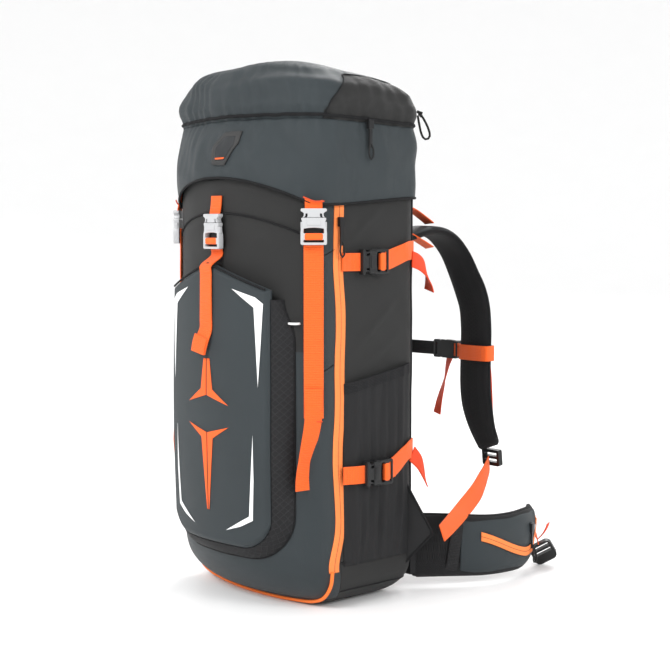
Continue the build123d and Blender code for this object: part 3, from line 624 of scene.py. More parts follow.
@dataclass(frozen=True)
class BagForm:
    """Outside of the main bag, given by the running length round it and the height up it.

    The running length is 0 at the middle of the front, positive towards the wearer's right.
    """

    half_w: float = 0.148
    front_y: float = -0.116
    front_r: float = 0.240
    corner_r: float = 0.046
    back_y: float = 0.105
    back_r: float = 0.022
    side_roll: float = 0.050
    front_roll: float = 0.085
    back_roll: float = 0.040
    middle_y: float = -0.008
    creases: tuple[tuple[float, float, float, float, float, float], ...] = (
        (0.205, 0.330, 0.292, 0.405, 0.006, 0.0022), (0.215, 0.305, 0.300, 0.360, 0.007, 0.0018),
        (0.196, 0.470, 0.262, 0.520, 0.006, 0.0016), (0.200, 0.120, 0.262, 0.205, 0.008, 0.0016),
        (0.020, 0.492, 0.120, 0.470, 0.009, 0.0016), (0.040, 0.540, 0.110, 0.520, 0.008, 0.0012),
        (-0.120, 0.470, -0.030, 0.500, 0.009, 0.0014), (-0.292, 0.405, -0.205, 0.330, 0.006, 0.0020),
        (0.150, 0.310, 0.180, 0.325, 0.003, 0.0012), (0.150, 0.455, 0.180, 0.470, 0.003, 0.0012))

    @property
    def turn(self) -> float:
        """Angle at which the front's wide arc meets the corner's arc."""
        return math.asin((self.half_w - self.corner_r) / (self.front_r - self.corner_r))

    def seams(self) -> tuple[float, float, float, float, float]:
        """Running lengths at which the plan changes from one arc or straight to the next."""
        a = self.front_r * self.turn
        b = a + self.corner_r * (math.pi / 2 - self.turn)
        corner_y = self.front_y + self.front_r - (self.front_r - self.corner_r) * math.cos(self.turn)
        c = b + (self.back_y - self.back_r) - corner_y
        d = c + self.back_r * math.pi / 2
        return a, b, c, d, d + self.half_w - self.back_r

    def plan(self, s: float) -> tuple[float, float]:
        """Return the plan point at a running length."""
        side, s = math.copysign(1.0, s), abs(s)
        a, b, c, d, _ = self.seams()
        middle = self.front_y + self.front_r
        if s <= a:
            t = s / self.front_r
            return side * self.front_r * math.sin(t), middle - self.front_r * math.cos(t)
        corner_y = middle - (self.front_r - self.corner_r) * math.cos(self.turn)
        if s <= b:
            t = self.turn + (s - a) / self.corner_r
            x = self.half_w - self.corner_r + self.corner_r * math.sin(t)
            return side * x, corner_y - self.corner_r * math.cos(t)
        if s <= c:
            return side * self.half_w, corner_y + s - b
        if s <= d:
            t = (s - c) / self.back_r
            x = self.half_w - self.back_r + self.back_r * math.cos(t)
            return side * x, self.back_y - self.back_r + self.back_r * math.sin(t)
        return side * (self.half_w - self.back_r - (s - d)), self.back_y

    def height(self, h: float) -> float:
        """Return the height above the ground of a running height that curls under the base."""
        if h >= self.front_roll:
            return h
        turn = (h + self.front_roll * (math.pi / 2 - 1)) / self.front_roll
        return self.front_roll * (1 - math.cos(max(0.0, turn)))

    def running(self, z: float) -> float:
        """Return the running height of a height above the ground."""
        if z >= self.front_roll:
            return z
        return self.front_roll * (math.acos(1 - z / self.front_roll) - math.pi / 2 + 1)

    def bare(self, s: float, h: float) -> Vector:
        """Return the smooth surface's point, before any creases."""
        x, y = self.plan(s)
        z = self.height(h)
        if z < self.side_roll:
            left = self.side_roll - z
            inset = self.side_roll - math.sqrt(max(0.0, self.side_roll ** 2 - left ** 2))
            x *= (self.half_w - inset) / self.half_w
        roll = self.front_roll if y < self.middle_y else self.back_roll
        if z < roll:
            inset = roll - math.sqrt(max(0.0, roll ** 2 - (roll - z) ** 2))
            reach = abs((self.front_y if y < self.middle_y else self.back_y) - self.middle_y)
            y = self.middle_y + (y - self.middle_y) * (reach - inset) / reach
        under = self.running(0.0) - h
        if under > 0:
            keep = max(0.02, 1 - under / 0.1)
            x, y = x * keep, self.middle_y + 0.02 + (y - self.middle_y - 0.02) * keep
        return Vector((x, y, z))

    def rumple(self, s: float, h: float) -> float:
        """Return how far the cloth stands in or out at a place, in metres."""
        if h < 0.02:
            return 0.0
        calm = smooth(0.02, 0.08, h)
        wave = noise.noise(Vector((s * 11, h * 7, 3.1))) * 0.0016
        wave += noise.noise(Vector((s * 34 + h * 12, h * 26, 7.7))) * 0.0006
        for s0, h0, s1, h1, width, depth in self.creases:
            along, across = Vector((s1 - s0, h1 - h0)), Vector((s - s0, h - h0))
            t = across.dot(along) / along.length_squared
            if -0.1 < t < 1.1:
                away = (across - along * t).length / width
                if away < 3:
                    wave += depth * math.exp(-away * away) * math.sin(math.pi * min(1, max(0, t)))
        return wave * calm

    def normal(self, s: float, h: float) -> Vector:
        """Return the outward direction at a place."""
        step = 0.0015
        du = self.bare(s + step, h) - self.bare(s - step, h)
        dv = self.bare(s, h + step) - self.bare(s, h - step)
        out = du.cross(dv)
        return out.normalized() if out.length > 1e-12 else Vector((0, 0, -1))

    def point(self, s: float, h: float, off: float = 0.0) -> Vector:
        """Return the point off the cloth by a distance."""
        return self.bare(s, h) + self.normal(s, h) * (off + self.rumple(s, h))

    def running_at_x(self, x: float) -> float:
        """Return the running length of a place on the wide front arc."""
        return math.copysign(self.front_r * math.asin(min(1.0, abs(x) / self.front_r)), x)


BAG = BagForm()
# Running lengths of the zips, the corner straps, the back's piped edges and the middle of the back.
ZIP_S = 0.1847
STRAP_S = 0.1482
BACK_EDGE_S = 0.325
BACK_S = 0.4643


@dataclass
class MainBag:
    """The bag's sewn panels."""

    top: float = 0.556
    base_seam: float = 0.062
    colour_break: float = 0.335
    front_low: float = 0.012
    base_end: float = -0.140
    collar_low: float = 0.527
    collar_top: float = 0.571
    wall: float = 2.6 * MM

    def panel(self, name: str, span: tuple[float, float], heights: tuple[float, float],
              steps: tuple[int, int], finish: Finish, nodes: Iterable[str] = (),
              second: Optional[SecondCloth] = None) -> None:
        """Lay one panel on the bag's surface.

        Args:
            name: The panel's name.
            span: Running lengths of its edges.
            heights: Running heights of its edges.
            steps: How finely it is divided.
            finish: Its cloth.
            nodes: CAD nodes that it stands for.
            second: Another cloth and where it shows.
        """
        Patch(name, BAG.point, span, heights, steps, self.wall).build(finish, "pack", nodes, second)

    def front(self) -> None:
        """Front: slate cloth with a charcoal field above and behind the pocket."""
        def upper(s: float, h: float) -> bool:
            """Return whether the charcoal cloth shows."""
            return abs(s) < STRAP_S - 0.004 and h > self.colour_break

        self.panel("front_cloth", (-ZIP_S, ZIP_S), (BAG.running(self.front_low), self.top), (150, 170), GREY,
                   ["front_panel"], (CHARCOAL, upper))
        seam = [BAG.point(s * MM, (512 - 30 * (s / 140) ** 2) * MM, 0.9 * MM) for s in range(-140, 141, 14)]
        tube("front_top_seam", seam, 1.3 * MM, BINDING, "pack")
        for name, side in SIDES:
            for index, low in enumerate((0.306, 0.452)):
                line = [BAG.point(side * s, low + (s - 0.152) * 0.55, 0.3 * MM)
                        for s in (0.162, 0.169, 0.176)]
                tube(f"strip_seam_{index}_{name}", line, 0.7 * MM, BINDING, "pack")

    def sides(self) -> None:
        """Black side panels from the zip to the back, and the back panel."""
        for name, side in SIDES:
            self.panel(f"side_cloth_{name}", on_side(side, ZIP_S, BACK_EDGE_S), (self.base_seam, self.top),
                       (64, 150), CHARCOAL, [f"side_panel_{name}"])
            edge = [BAG.point(side * BACK_EDGE_S, h * MM, 0.6 * MM) for h in range(64, 550, 18)]
            tube(f"back_edge_piping_{name}", edge, 2.2 * MM, BINDING, "pack")
        for name, side in SIDES:
            self.panel(f"back_cloth_{name}", on_side(side, BACK_EDGE_S, BACK_S), (self.base_seam, self.top),
                       (40, 120), CHARCOAL, once("back_panel", side))

    def base(self) -> None:
        """Base: black cloth under the front and round the sides, with its seams."""
        for name, side in (("base_cloth", 1), ("base_cloth_left", -1)):
            self.panel(name, on_side(side, ZIP_S, BACK_S), (self.base_end, self.base_seam), (90, 60),
                       CHARCOAL, once("base_panel", side))
        self.panel("base_cloth_front", (-ZIP_S, ZIP_S), (self.base_end, BAG.running(self.front_low)),
                   (90, 26), CHARCOAL)
        for index, (height, radius) in enumerate(((self.base_seam, 1.3), (0.022, 0.8))):
            for name, side in SIDES:
                line = [BAG.point(side * s * MM, BAG.running(height), 0.4 * MM) for s in range(188, 465, 12)]
                tube(f"base_seam_{index}_{name}", line, radius * MM, BINDING, "pack")

    def collar(self) -> None:
        """Gathered collar inside the top edge; its drawcord is the kept CAD node, dressed with the back
        system.
        """
        def gathered(s: float, h: float) -> Vector:
            """Return the collar's surface, puckered towards its top."""
            pull = smooth(0.54, self.collar_top, h)
            wave = math.sin(s * 620) * 1.6 * MM * pull
            return BAG.bare(s, h) - BAG.normal(s, h) * (4.2 * MM + 1.5 * MM * pull - wave)

        Patch("collar_cloth", gathered, (-BACK_S, BACK_S), (self.collar_low, self.collar_top), (420, 8),
              0.8 * MM, closed=True).build(CHARCOAL, "pack", ["collar"])

    def build(self) -> None:
        """Build every panel."""
        self.front()
        self.sides()
        self.base()
        self.collar()


@dataclass
class FrontPocket:
    """Stash pocket on the front: its panel, lattice gusset and prints."""

    middle_y: float = 0.152
    radius: float = 0.285
    half: float = 0.103
    top: float = 0.448
    shoulder: float = 0.414
    low: float = 0.080
    corner: float = 0.045
    roll: float = 0.009
    spread: float = 0.013
    turn_down: float = 0.012
    gusset_deep: float = 0.026

    def face(self, x: float, z: float, off: float = 0.0) -> Vector:
        """Return the point on the pocket's bulged face."""
        t = (z - self.low) / (self.top - self.low)
        swell = 2.5 * MM * math.sin(math.pi * min(1.0, max(0.0, t)))
        swell += noise.noise(Vector((x * 16, z * 9, 1.3))) * 1.1 * MM
        reach = self.radius + off + swell
        angle = math.asin(x / self.radius)
        return Vector((reach * math.sin(angle), self.middle_y - reach * math.cos(angle), z))

    def low_edge(self, x: float) -> float:
        """Return the height of the pocket's rounded lower edge."""
        over = abs(x) - (self.half - self.corner)
        if over <= 0:
            return self.low
        return self.low + self.corner - math.sqrt(max(0.0, self.corner ** 2 - over ** 2))

    def high_edge(self, x: float) -> float:
        """Return the height of the pocket's peaked upper edge."""
        return self.top - (self.top - self.shoulder) * abs(x) / self.half

    def panel(self) -> None:
        """Pocket panel with rolled edges."""
        def surface(u: float, v: float) -> Vector:
            """Return the panel's point, both lengths from -1 to 1."""
            x = self.half * math.sin(u * math.pi / 2)
            t = (math.sin(v * math.pi / 2) + 1) / 2
            low, high = self.low_edge(x), self.high_edge(x)
            z = low + (high - low) * t
            edge = max(0.0, min(self.half - abs(x), z - low, high - z))
            depth = 0.0
            if edge < self.roll:
                depth = self.roll * (1 - math.sqrt(1 - (1 - edge / self.roll) ** 2))
            return self.face(x, z, -depth)

        made = Patch("pocket_cloth", surface, (-1.0, 1.0), (-1.0, 1.0), (90, 130), 2.2 * MM).build(
            GREY, "pack", ["front_pocket_panel"])
        self.metric_uv(made)
        top = [self.face(x * MM, self.high_edge(x * MM) - 1.0 * MM, -1.5 * MM) for x in range(-101, 102, 6)]
        tube("pocket_top_piping", top, 1.4 * MM, BINDING, "pack")

    @staticmethod
    def metric_uv(thing: bpy.types.Object) -> None:
        """Lay the piece's UV map flat at true size, from its x and z."""
        layer = thing.data.uv_layers.active.data
        for loop in thing.data.loops:
            co = thing.data.vertices[loop.vertex_index].co
            layer[loop.index].uv = (co.x, co.z)

    def outline(self, t: float) -> tuple[float, float, float, float]:
        """Return x, z and the outward direction at a running length of the gusset's seam."""
        side = self.shoulder - (self.low + self.corner) - self.turn_down
        arc = self.corner * math.pi / 2
        flat = 2 * (self.half - self.corner)
        if t < side:
            return self.half, self.shoulder - self.turn_down - t, 1.0, 0.0
        if t < side + arc:
            a = (t - side) / self.corner
            return (self.half - self.corner + self.corner * math.cos(a),
                    self.low + self.corner - self.corner * math.sin(a), math.cos(a), -math.sin(a))
        if t < side + arc + flat:
            return self.half - self.corner - (t - side - arc), self.low, 0.0, -1.0
        x, z, nx, nz = self.outline(2 * (side + arc) + flat - t)
        return -x, z, -nx, nz

    def gusset(self) -> None:
        """Lattice band from the panel's edge back to the bag."""
        total = 2 * (self.shoulder - self.low - self.corner - self.turn_down + self.corner * math.pi / 2)
        total += 2 * (self.half - self.corner)

        def surface(u: float, v: float) -> Vector:
            """Return the band's point, u along the seam and v away from the panel."""
            x, z, nx, nz = self.outline(min(total - 1e-6, max(0.0, u)))
            start = self.face(x, z, -self.roll * 0.55)
            t = v / self.gusset_deep
            spread = self.spread * smooth(0.0, 0.05, u) * smooth(0.0, 0.05, total - u) + 2.5 * MM
            bx, bz = x + nx * spread, z + nz * spread
            end = BAG.point(BAG.running_at_x(bx), BAG.running(max(0.004, bz)), 0.6 * MM)
            point = start.lerp(end, t)
            belly = math.sin(math.pi * t) * 2.2 * MM
            return point + Vector((nx, -0.7, nz)).normalized() * belly

        Patch("gusset_mesh", surface, (0.0, total), (0.0, self.gusset_deep), (220, 12), 1.2 * MM).build(
            DIAMOND, "pack", ["front_pocket_gusset"])
        outer = [surface(total * i / 80, self.gusset_deep) for i in range(81)]
        tube("gusset_seam", outer, 1.0 * MM, BINDING, "pack")

    def print_shape(self, name: str, corners: Sequence[tuple[float, float]], finish: Finish) -> None:
        """Print a flat figure on the panel.

        Args:
            name: The print's name.
            corners: Its corners as x and z in millimetres, in order.
            finish: Its ink.
        """
        def lay(flat: Vector) -> Vector:
            """Return the point on the panel's face."""
            return self.face(flat.x, flat.z, 0.35 * MM)

        flat_figure(name, corners, lay, 0.25 * MM, finish, "pack")

    def prints(self) -> None:
        """Pale bent bars at the corners and the orange star."""
        bars = {"upper": [(47, 415), (84, 405), (95.5, 397), (92, 345), (88, 291), (85, 345), (82, 392)],
                "lower": [(34, 101), (60, 109), (79.5, 119), (81.5, 170), (80.5, 229), (77, 170), (74, 124)]}
        for label, corners in bars.items():
            for name, side in SIDES:
                ring = [(side * (x if side > 0 else x - 2), z) for x, z in corners]
                self.print_shape(f"print_{label}_{name}", ring, PRINT_WHITE)
        star = {"upper": [(0.8, 323), (6.2, 323), (12, 283), (42, 264), (0.8, 275)],
                "lower": [(0.8, 226), (42, 236), (12, 219), (2.2, 124), (0.8, 124)]}
        for name, side in SIDES:
            for label, corners in star.items():
                self.print_shape(f"star_{label}_{name}", [(side * x, z) for x, z in corners], PRINT_ORANGE)

    def build(self) -> None:
        """Build the pocket."""
        self.panel()
        self.gusset()
        self.prints()


POCKET = FrontPocket()


@dataclass
class SidePocket:
    """Gathered mesh bottle pocket on one side."""

    name: str
    side: int
    start: float = 0.1915
    end: float = 0.310
    low: float = 0.056
    high_front: float = 0.292
    high_back: float = 0.312
    tall: float = 0.24

    def surface(self, u: float, v: float) -> Vector:
        """Return the mesh's point, u round the bag and v the share of its height."""
        t = (u - self.start) / (self.end - self.start)
        top = self.high_front + (self.high_back - self.high_front) * t
        h = self.low + (top - self.low) * v
        edge = min(1.0, 7 * t, 7 * (1 - t)) * (0.25 + 0.75 * smooth(0.0, 0.2, v))
        fold = math.sin(t * 46 + 2.2 * noise.noise(Vector((t * 5, v * 2, 4.0)))) * 1.5 * MM
        fold += noise.noise(Vector((t * 9, v * 5, 9.0))) * 2.2 * MM
        off = 0.8 * MM + edge * (6.2 * MM + fold * (0.35 + 0.65 * (1 - v)))
        return BAG.point(self.side * u, h, off)

    def build(self) -> None:
        """Build the mesh and its elastic hem."""
        def oriented(u: float, v: float) -> Vector:
            """Return the surface's point with u running the way that faces outwards."""
            return self.surface(self.start + self.end - u if self.side < 0 else u, v)

        made = Patch(f"bottle_mesh_{self.name}", oriented, (self.start, self.end), (0.0, 1.0), (110, 90),
                     1.0 * MM).build(MESH, "pack", [f"mesh_pocket_{self.name}"])
        stretch_uv(made, self.tall)

        def hem(u: float, v: float) -> Vector:
            """Return the hem band's point."""
            along = self.start + self.end - u if self.side < 0 else u
            rim = self.surface(along, 1.0)
            out = BAG.normal(self.side * along, 0.3)
            return rim + Vector((0, 0, v)) + out * (1.1 * MM)

        Patch(f"bottle_hem_{self.name}", hem, (self.start, self.end), (-0.012, 0.002), (110, 4), 1.6 * MM,
              edge=0.5 * MM).build(BINDING, "pack")


@dataclass
class Zips:
    """The long zips beside the front panel, with their piping round the base."""

    width: float = 16 * MM
    low: float = 0.050
    high: float = 0.548

    def path(self, h: float) -> float:
        """Return the zip's slightly wavy running length at a height."""
        return ZIP_S + 1.8 * MM * math.sin(h * 23) + 1.0 * MM * math.sin(h * 51 + 1)

    def build(self) -> None:
        """Build both tapes and the piping that they end in; the sliders are dressed with the pulls."""
        for name, side in SIDES:
            def tape(u: float, v: float, side: int = side) -> Vector:
                """Return the tape's point."""
                bend = 1 - smooth(0.05, 0.13, v)
                s = self.path(v) - 0.012 * bend * bend
                rise = 1.5 * MM - abs(u) / self.width * 1.4 * MM
                return BAG.point(side * s + u, v, rise)

            Patch(f"front_zip_tape_{name}", tape, (-self.width / 2, self.width / 2), (self.low, self.high),
                  (8, 190), 1.2 * MM).build(TAPE, "pack", once("front_zips", side))
            route = ((0.1705, 0.052), (0.1660, 0.030), (0.1560, 0.006), (0.1380, -0.010), (0.1100, -0.017),
                     (0.0700, -0.020), (0.0350, -0.021), (0.0000, -0.021))
            line = [BAG.point(side * s, h, 1.6 * MM) for s, h in route]
            tube(f"base_piping_{name}", line, 2.4 * MM, TAPE_PLAIN, "pack")


# ---------------------------------------------------------------- lid


@dataclass
class Lid:
    """Lid with its hanging skirt, full top pocket, gathered seam, badge and cord loop."""

    skirt_off: float = 6 * MM
    top: float = 0.711
    seam_z: float = 0.626
    square: float = 3.4
    centre_y: float = -0.004

    def hem(self, s: float) -> float:
        """Return the skirt's lower edge: arched over the front, lowest at the corner straps."""
        near = abs(s)
        if near < STRAP_S:
            return 0.557 - 0.036 * (near / STRAP_S) ** 2
        return 0.521 + 0.011 * smooth(STRAP_S, 0.330, near)

    def seam(self, s: float) -> float:
        """Return the height of the gathered seam."""
        wave = 0.0012 * noise.noise(Vector((s * 60, 0, 5)))
        return self.seam_z + 0.005 * math.cos(s / BACK_S * math.pi) + wave

    def inset(self, s: float) -> float:
        """Return how far the seam lies inside the hem: most at the front."""
        front = 1 - smooth(0.05, 0.20, abs(s))
        back = smooth(0.30, 0.36, abs(s))
        return 0.0025 + 0.0185 * front + 0.001 * back

    def skirt(self, s: float, t: float) -> Vector:
        """Return the skirt's point, t from 0 at the hem to 1 at the seam."""
        low, high = self.hem(s), self.seam(s)
        z = low + (high - low) * t
        off = self.skirt_off - self.inset(s) * t ** 1.5 + 0.004 * math.sin(math.pi * t)
        folds = noise.noise(Vector((s * 21 + 1.5 * t, t * 1.3, 2.2))) * 0.0066
        folds += noise.noise(Vector((s * 60, t * 3.0, 6.1))) * 0.0018
        pinch = math.exp(-((abs(s) - STRAP_S) / 0.022) ** 2) * (1 - t) ** 2
        gather = math.sin(s * 250 + 9 * noise.noise(Vector((s * 14, 0, 8)))) * 0.0008 * t ** 4
        loose = math.sin(math.pi * min(1.0, t * 0.9 + 0.08)) * (1 - 0.7 * pinch)
        off += folds * loose - 0.003 * pinch + gather
        flat = BAG.bare(s, PLAIN_H)
        out = BAG.normal(s, PLAIN_H)
        return Vector((flat.x, flat.y, z)) + Vector((out.x, out.y, 0)) * off

    def dome(self, s: float, t: float) -> Vector:
        """Return the top pocket's point, t from 0 at the seam to 1 at the middle of the top."""
        edge = self.skirt(s, 1.0)
        out = BAG.normal(s, PLAIN_H)
        angle = t * math.pi / 2
        share = math.cos(angle) ** (2 / self.square) if t < 0.9999 else 0.0
        rise = math.sin(angle) ** (2 / self.square)
        swell = 0.0025 * math.sin(math.pi * min(1.0, t * 1.9)) if t < 0.55 else 0.0
        swell += 0.0035 * smooth(0.0, 0.06, t) * (1 - smooth(0.3, 0.6, t))
        centre = Vector((0.0, self.centre_y, edge.z))
        flat = centre + (edge - centre) * share + Vector((out.x, out.y, 0)) * swell
        peak = self.top - 0.012 * smooth(-0.05, 0.12, flat.y) - 0.010 * abs(flat.x / 0.148) ** 2
        wave = noise.noise(Vector((flat.x * 13, flat.y * 13, rise * 3))) * 0.0050 * smooth(0.0, 0.3, t)
        lump = noise.noise(Vector((s * 15, t * 5, 1.0))) * 0.0048
        wave += lump * (1 - smooth(0.3, 0.7, t)) * smooth(0, 0.1, t)
        pucker = math.sin(s * 210 + 11 * noise.noise(Vector((s * 12, 0, 3)))) * 0.0006
        gather = pucker * (1 - smooth(0.0, 0.16, t))
        flat.z = edge.z + (peak - edge.z) * rise + wave * rise
        return flat + Vector((out.x, out.y, 0)) * ((wave + gather) * (1.0 if share > 0.3 else share / 0.3))

    def cloth(self) -> None:
        """Skirt and top pocket."""
        def charcoal(s: float, t: float) -> bool:
            """Return whether the rear corner's charcoal cloth shows."""
            return t < 0.50 and abs(s) > 0.160 + 0.10 * t

        lower = Patch("lid_skirt", self.skirt, (-BACK_S, BACK_S), (0.0, 1.0), (430, 40), 1.3 * MM,
                      closed=True).build(GREY, "lid", ["lid_shell"])
        upper = Patch("lid_top", self.dome, (-BACK_S, BACK_S), (0.0, 1.0), (380, 70), 1.3 * MM,
                      closed=True).build(GREY, "lid", second=(CHARCOAL, charcoal))
        stretch_uv(lower, 0.1)
        stretch_uv(upper, 0.22)

    def trim(self) -> None:
        """Hem binding, gathered seam, and the seam of the rear patches."""
        span = [BACK_S * (i / 120) for i in range(-120, 120)]
        tube("lid_hem_binding", [self.skirt(s, 0.0) for s in span], 1.7 * MM, BINDING, "lid", closed=True)
        tube("lid_seam_cord", [self.skirt(s, 1.0).lerp(self.dome(s, 0.02), 0.5) for s in span], 2.2 * MM,
             BINDING, "lid", ["lid_zip"], closed=True)
        for name, side in SIDES:
            rear = [self.dome(side * (0.160 + 0.10 * t), t) + Vector((side * 0.5 * MM, 0, 0))
                    for t in (0.0, 0.1, 0.2, 0.3, 0.4, 0.5)]
            rear += [self.dome(side * s, 0.5) for s in (0.24, 0.28, 0.32, 0.36, 0.42, 0.463)]
            tube(f"lid_patch_seam_{name}", rear, 1.1 * MM, BINDING, "lid")

    def badge(self) -> None:
        """Six-sided rubber badge with a plain raised border and bar, left without any mark."""
        ring = [(-23, -20), (3.5, -21.5), (25, 5.6), (23, 21.5), (-7.5, 21), (-25, 3.4)]

        def plate(name: str, corners: Sequence[tuple[float, float]], off: float, thick: float, finish: Finish,
                  nodes: Iterable[str] = ()) -> None:
            """Lay one flat figure on the front of the skirt."""
            def lay(flat: Vector) -> Vector:
                """Return the point off the skirt's front."""
                s, z = BAG.running_at_x(flat.x + 0.020), flat.z + 0.594
                share = (z - self.hem(s)) / (self.seam(s) - self.hem(s))
                out = BAG.normal(s, PLAIN_H)
                return self.skirt(s, share) + Vector((out.x, out.y, 0)) * off

            flat_figure(name, corners, lay, thick, finish, "lid", nodes)

        plate("lid_badge_plate", ring, 0.5 * MM, 1.6 * MM, RUBBER, ["lid_badge"])
        plate("lid_badge_panel", [(x * 0.72, z * 0.72) for x, z in ring], 2.1 * MM, 0.4 * MM, RUBBER_LIGHT)
        bar = [(-14, -13.5), (3, -13.5), (4.5, -11.5), (-14, -11.5)]
        plate("lid_badge_bar", bar, 2.6 * MM, 0.4 * MM, PRINT_ORANGE)

    def loop(self) -> None:
        """Knotted cord loop on the lid's rear pull."""
        root = self.dome(0.335, 0.05) + Vector((0.004, 0.004, 0.010))
        shape = ((0, 0, 0), (3, 5, -6), (6, 12, -18), (8, 16, -30), (7, 15, -36), (4, 10, -37), (2, 6, -30),
                 (1, 3, -18), (0, 1, -6))
        tube("lid_rear_cord", [root + mm(*p) for p in shape], 1.5 * MM, CORD_BLACK, "lid")
        knot = root + mm(1, 2, -3)
        turns = ((-3, 0, 2), (3, 3, 0), (-1, 4, -4), (2, -1, -1))
        tube("lid_rear_knot", [knot + mm(*p) for p in turns], 2.0 * MM, CORD_BLACK, "lid")

    def build(self) -> None:
        """Build the lid."""
        self.cloth()
        self.trim()
        self.badge()
        self.loop()


LID = Lid()


# ---------------------------------------------------------------- straps and buckles


@dataclass
class Buckle:
    """Side-release buckle: a framed socket with an arched window and a waisted plug."""

    name: str
    finish: Finish
    seat: Vector
    out: Vector
    mouth: Vector

    def put(self, bm: bmesh.types.BMesh, name: str, finish: Finish, body: str,
            nodes: Iterable[str] = ()) -> None:
        """Turn a moulding from the buckle's own axes to its place, and dress it."""
        turn = Matrix((self.mouth.cross(self.out), self.mouth, self.out)).transposed().to_4x4()
        bmesh.ops.transform(bm, matrix=Matrix.Translation(self.seat) @ turn, verts=bm.verts[:])
        bmesh.ops.recalc_face_normals(bm, faces=bm.faces[:])
        dress(object_from(bm, f"{self.name}_{name}"), finish, body, nodes)

    def bar(self, name: str, centre: tuple[float, float, float], size: tuple[float, float, float],
            finish: Finish, body: str) -> None:
        """Mould one rounded bar, its centre and size in millimetres along the buckle's axes."""
        bm = bmesh.new()
        bmesh.ops.create_cube(bm, size=1.0)
        bmesh.ops.scale(bm, vec=Vector(size) * MM, verts=bm.verts[:])
        bmesh.ops.bevel(bm, geom=bm.edges[:], offset=min(size) * 0.3 * MM, segments=3, profile=0.5,
                        affect="EDGES", material=-1)
        bmesh.ops.translate(bm, vec=mm(*centre), verts=bm.verts[:])
        self.put(bm, name, finish, body)

    def frame(self, name: str, shares: Sequence[float], rows: Sequence[tuple[float, float]],
              holes: Iterable[tuple[int, int]], arch: int, body: str, nodes: Iterable[str]) -> None:
        """Mould a flat frame from rows of a height and a half width.

        Args:
            name: The frame's name.
            shares: Its columns, as shares of the half width.
            rows: Height and half width of each row, in millimetres.
            holes: Column and row of each cell that is open.
            arch: The row whose middle is lifted into an arch, or -1.
            body: Body that carries it.
            nodes: Nodes that it stands for.
        """
        bm = bmesh.new()
        columns, lines, gaps = len(shares) - 1, len(rows) - 1, set(holes)
        bmesh.ops.create_grid(bm, x_segments=columns, y_segments=lines, size=0.5)
        places = {vert: (round((vert.co.x + 0.5) * columns), round((vert.co.y + 0.5) * lines))
                  for vert in bm.verts}
        gone = [face for face in bm.faces
                if tuple(min(places[v][axis] for v in face.verts) for axis in (0, 1)) in gaps]
        for vert, (column, row) in places.items():
            height, half = rows[row]
            rise = 2.0 * (1 - shares[column] ** 2) if row == arch else 0.0
            vert.co = mm(shares[column] * half, height + rise, 9.2)
        bmesh.ops.delete(bm, geom=gone, context="FACES")
        bmesh.ops.recalc_face_normals(bm, faces=bm.faces[:])
        bmesh.ops.solidify(bm, geom=bm.faces[:], thickness=8.4 * MM)
        low = min(vert.co.z for vert in bm.verts)
        bmesh.ops.translate(bm, vec=(0, 0, 0.8 * MM - low), verts=bm.verts[:])
        sharp = [edge for edge in bm.edges if edge.calc_face_angle(0.0) > 0.6]
        bmesh.ops.bevel(bm, geom=sharp, offset=0.9 * MM, segments=3, profile=0.5, affect="EDGES",
                        material=-1, clamp_overlap=True)
        self.put(bm, name, self.finish, body, nodes)

    def socket(self, body: str, nodes: Iterable[str] = ()) -> None:
        """Mould the socket, with webbing round its bar."""
        rows = ((-34, 15.2), (-32.6, 16.5), (-30.8, 16.5), (-27.6, 16.5), (-19.5, 16.5), (-14.5, 16.2),
                (-10, 14.6), (-5, 14.4), (-1.6, 15.6), (0, 15.2))
        open_cells = [(column, row) for row in (2, 4) for column in (1, 2, 3, 4)]
        self.frame("socket", (-1, -0.78, -0.4, 0, 0.4, 0.78, 1), rows, open_cells, 5, body, nodes)
        self.bar("socket_face", (0, -5.8, 9.2), (17, 7.6, 1.4), self.finish, body)
        self.bar("bar_webbing", (0, -23.6, 6.4), (24, 8.6, 7.4), ORANGE, body)
        # Black plate under the windows: painted shade in the socket's hollow. On the black side buckles it
        # matches their own colour.
        self.bar("window_painted_shade", (0, -22.5, 1.6), (24, 19, 1.0), BLACK, body)

    def plug(self, body: str, nodes: Iterable[str] = ()) -> None:
        """Mould the plug, with its two spring tabs in the socket's sides."""
        rows = ((0.35, 14.0), (2.0, 12.6), (5.2, 12.2), (6.8, 13.8), (8.2, 16.2), (10.4, 16.4), (11.6, 15.2))
        slits = [(column, row) for row in (0, 1) for column in (1, 4)]
        self.frame("plug", (-1, -0.84, -0.62, 0, 0.62, 0.84, 1), rows, slits, -1, body, nodes)
        for label, side in SIDES:
            self.bar(f"tab_{label}", (side * 14.9, -9.6, 5.0), (3.0, 9.0, 5.2), self.finish, body)


def finish_node(name: str, finish: Finish, round_edge: float = 0.0) -> None:
    """Give a kept CAD node a finish and, for mouldings, softened edges.

    Args:
        name: The node.
        finish: Its surface.
        round_edge: Width of a fine edge bevel, or 0.
    """
    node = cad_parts[name]
    node.data.materials.clear()
    node.data.materials.append(finish.material())
    if round_edge:
        soften = node.modifiers.new("edge", "BEVEL")
        soften.width = round_edge
        soften.segments = 2
        soften.limit_method = "ANGLE"
        soften.angle_limit = math.radians(35)


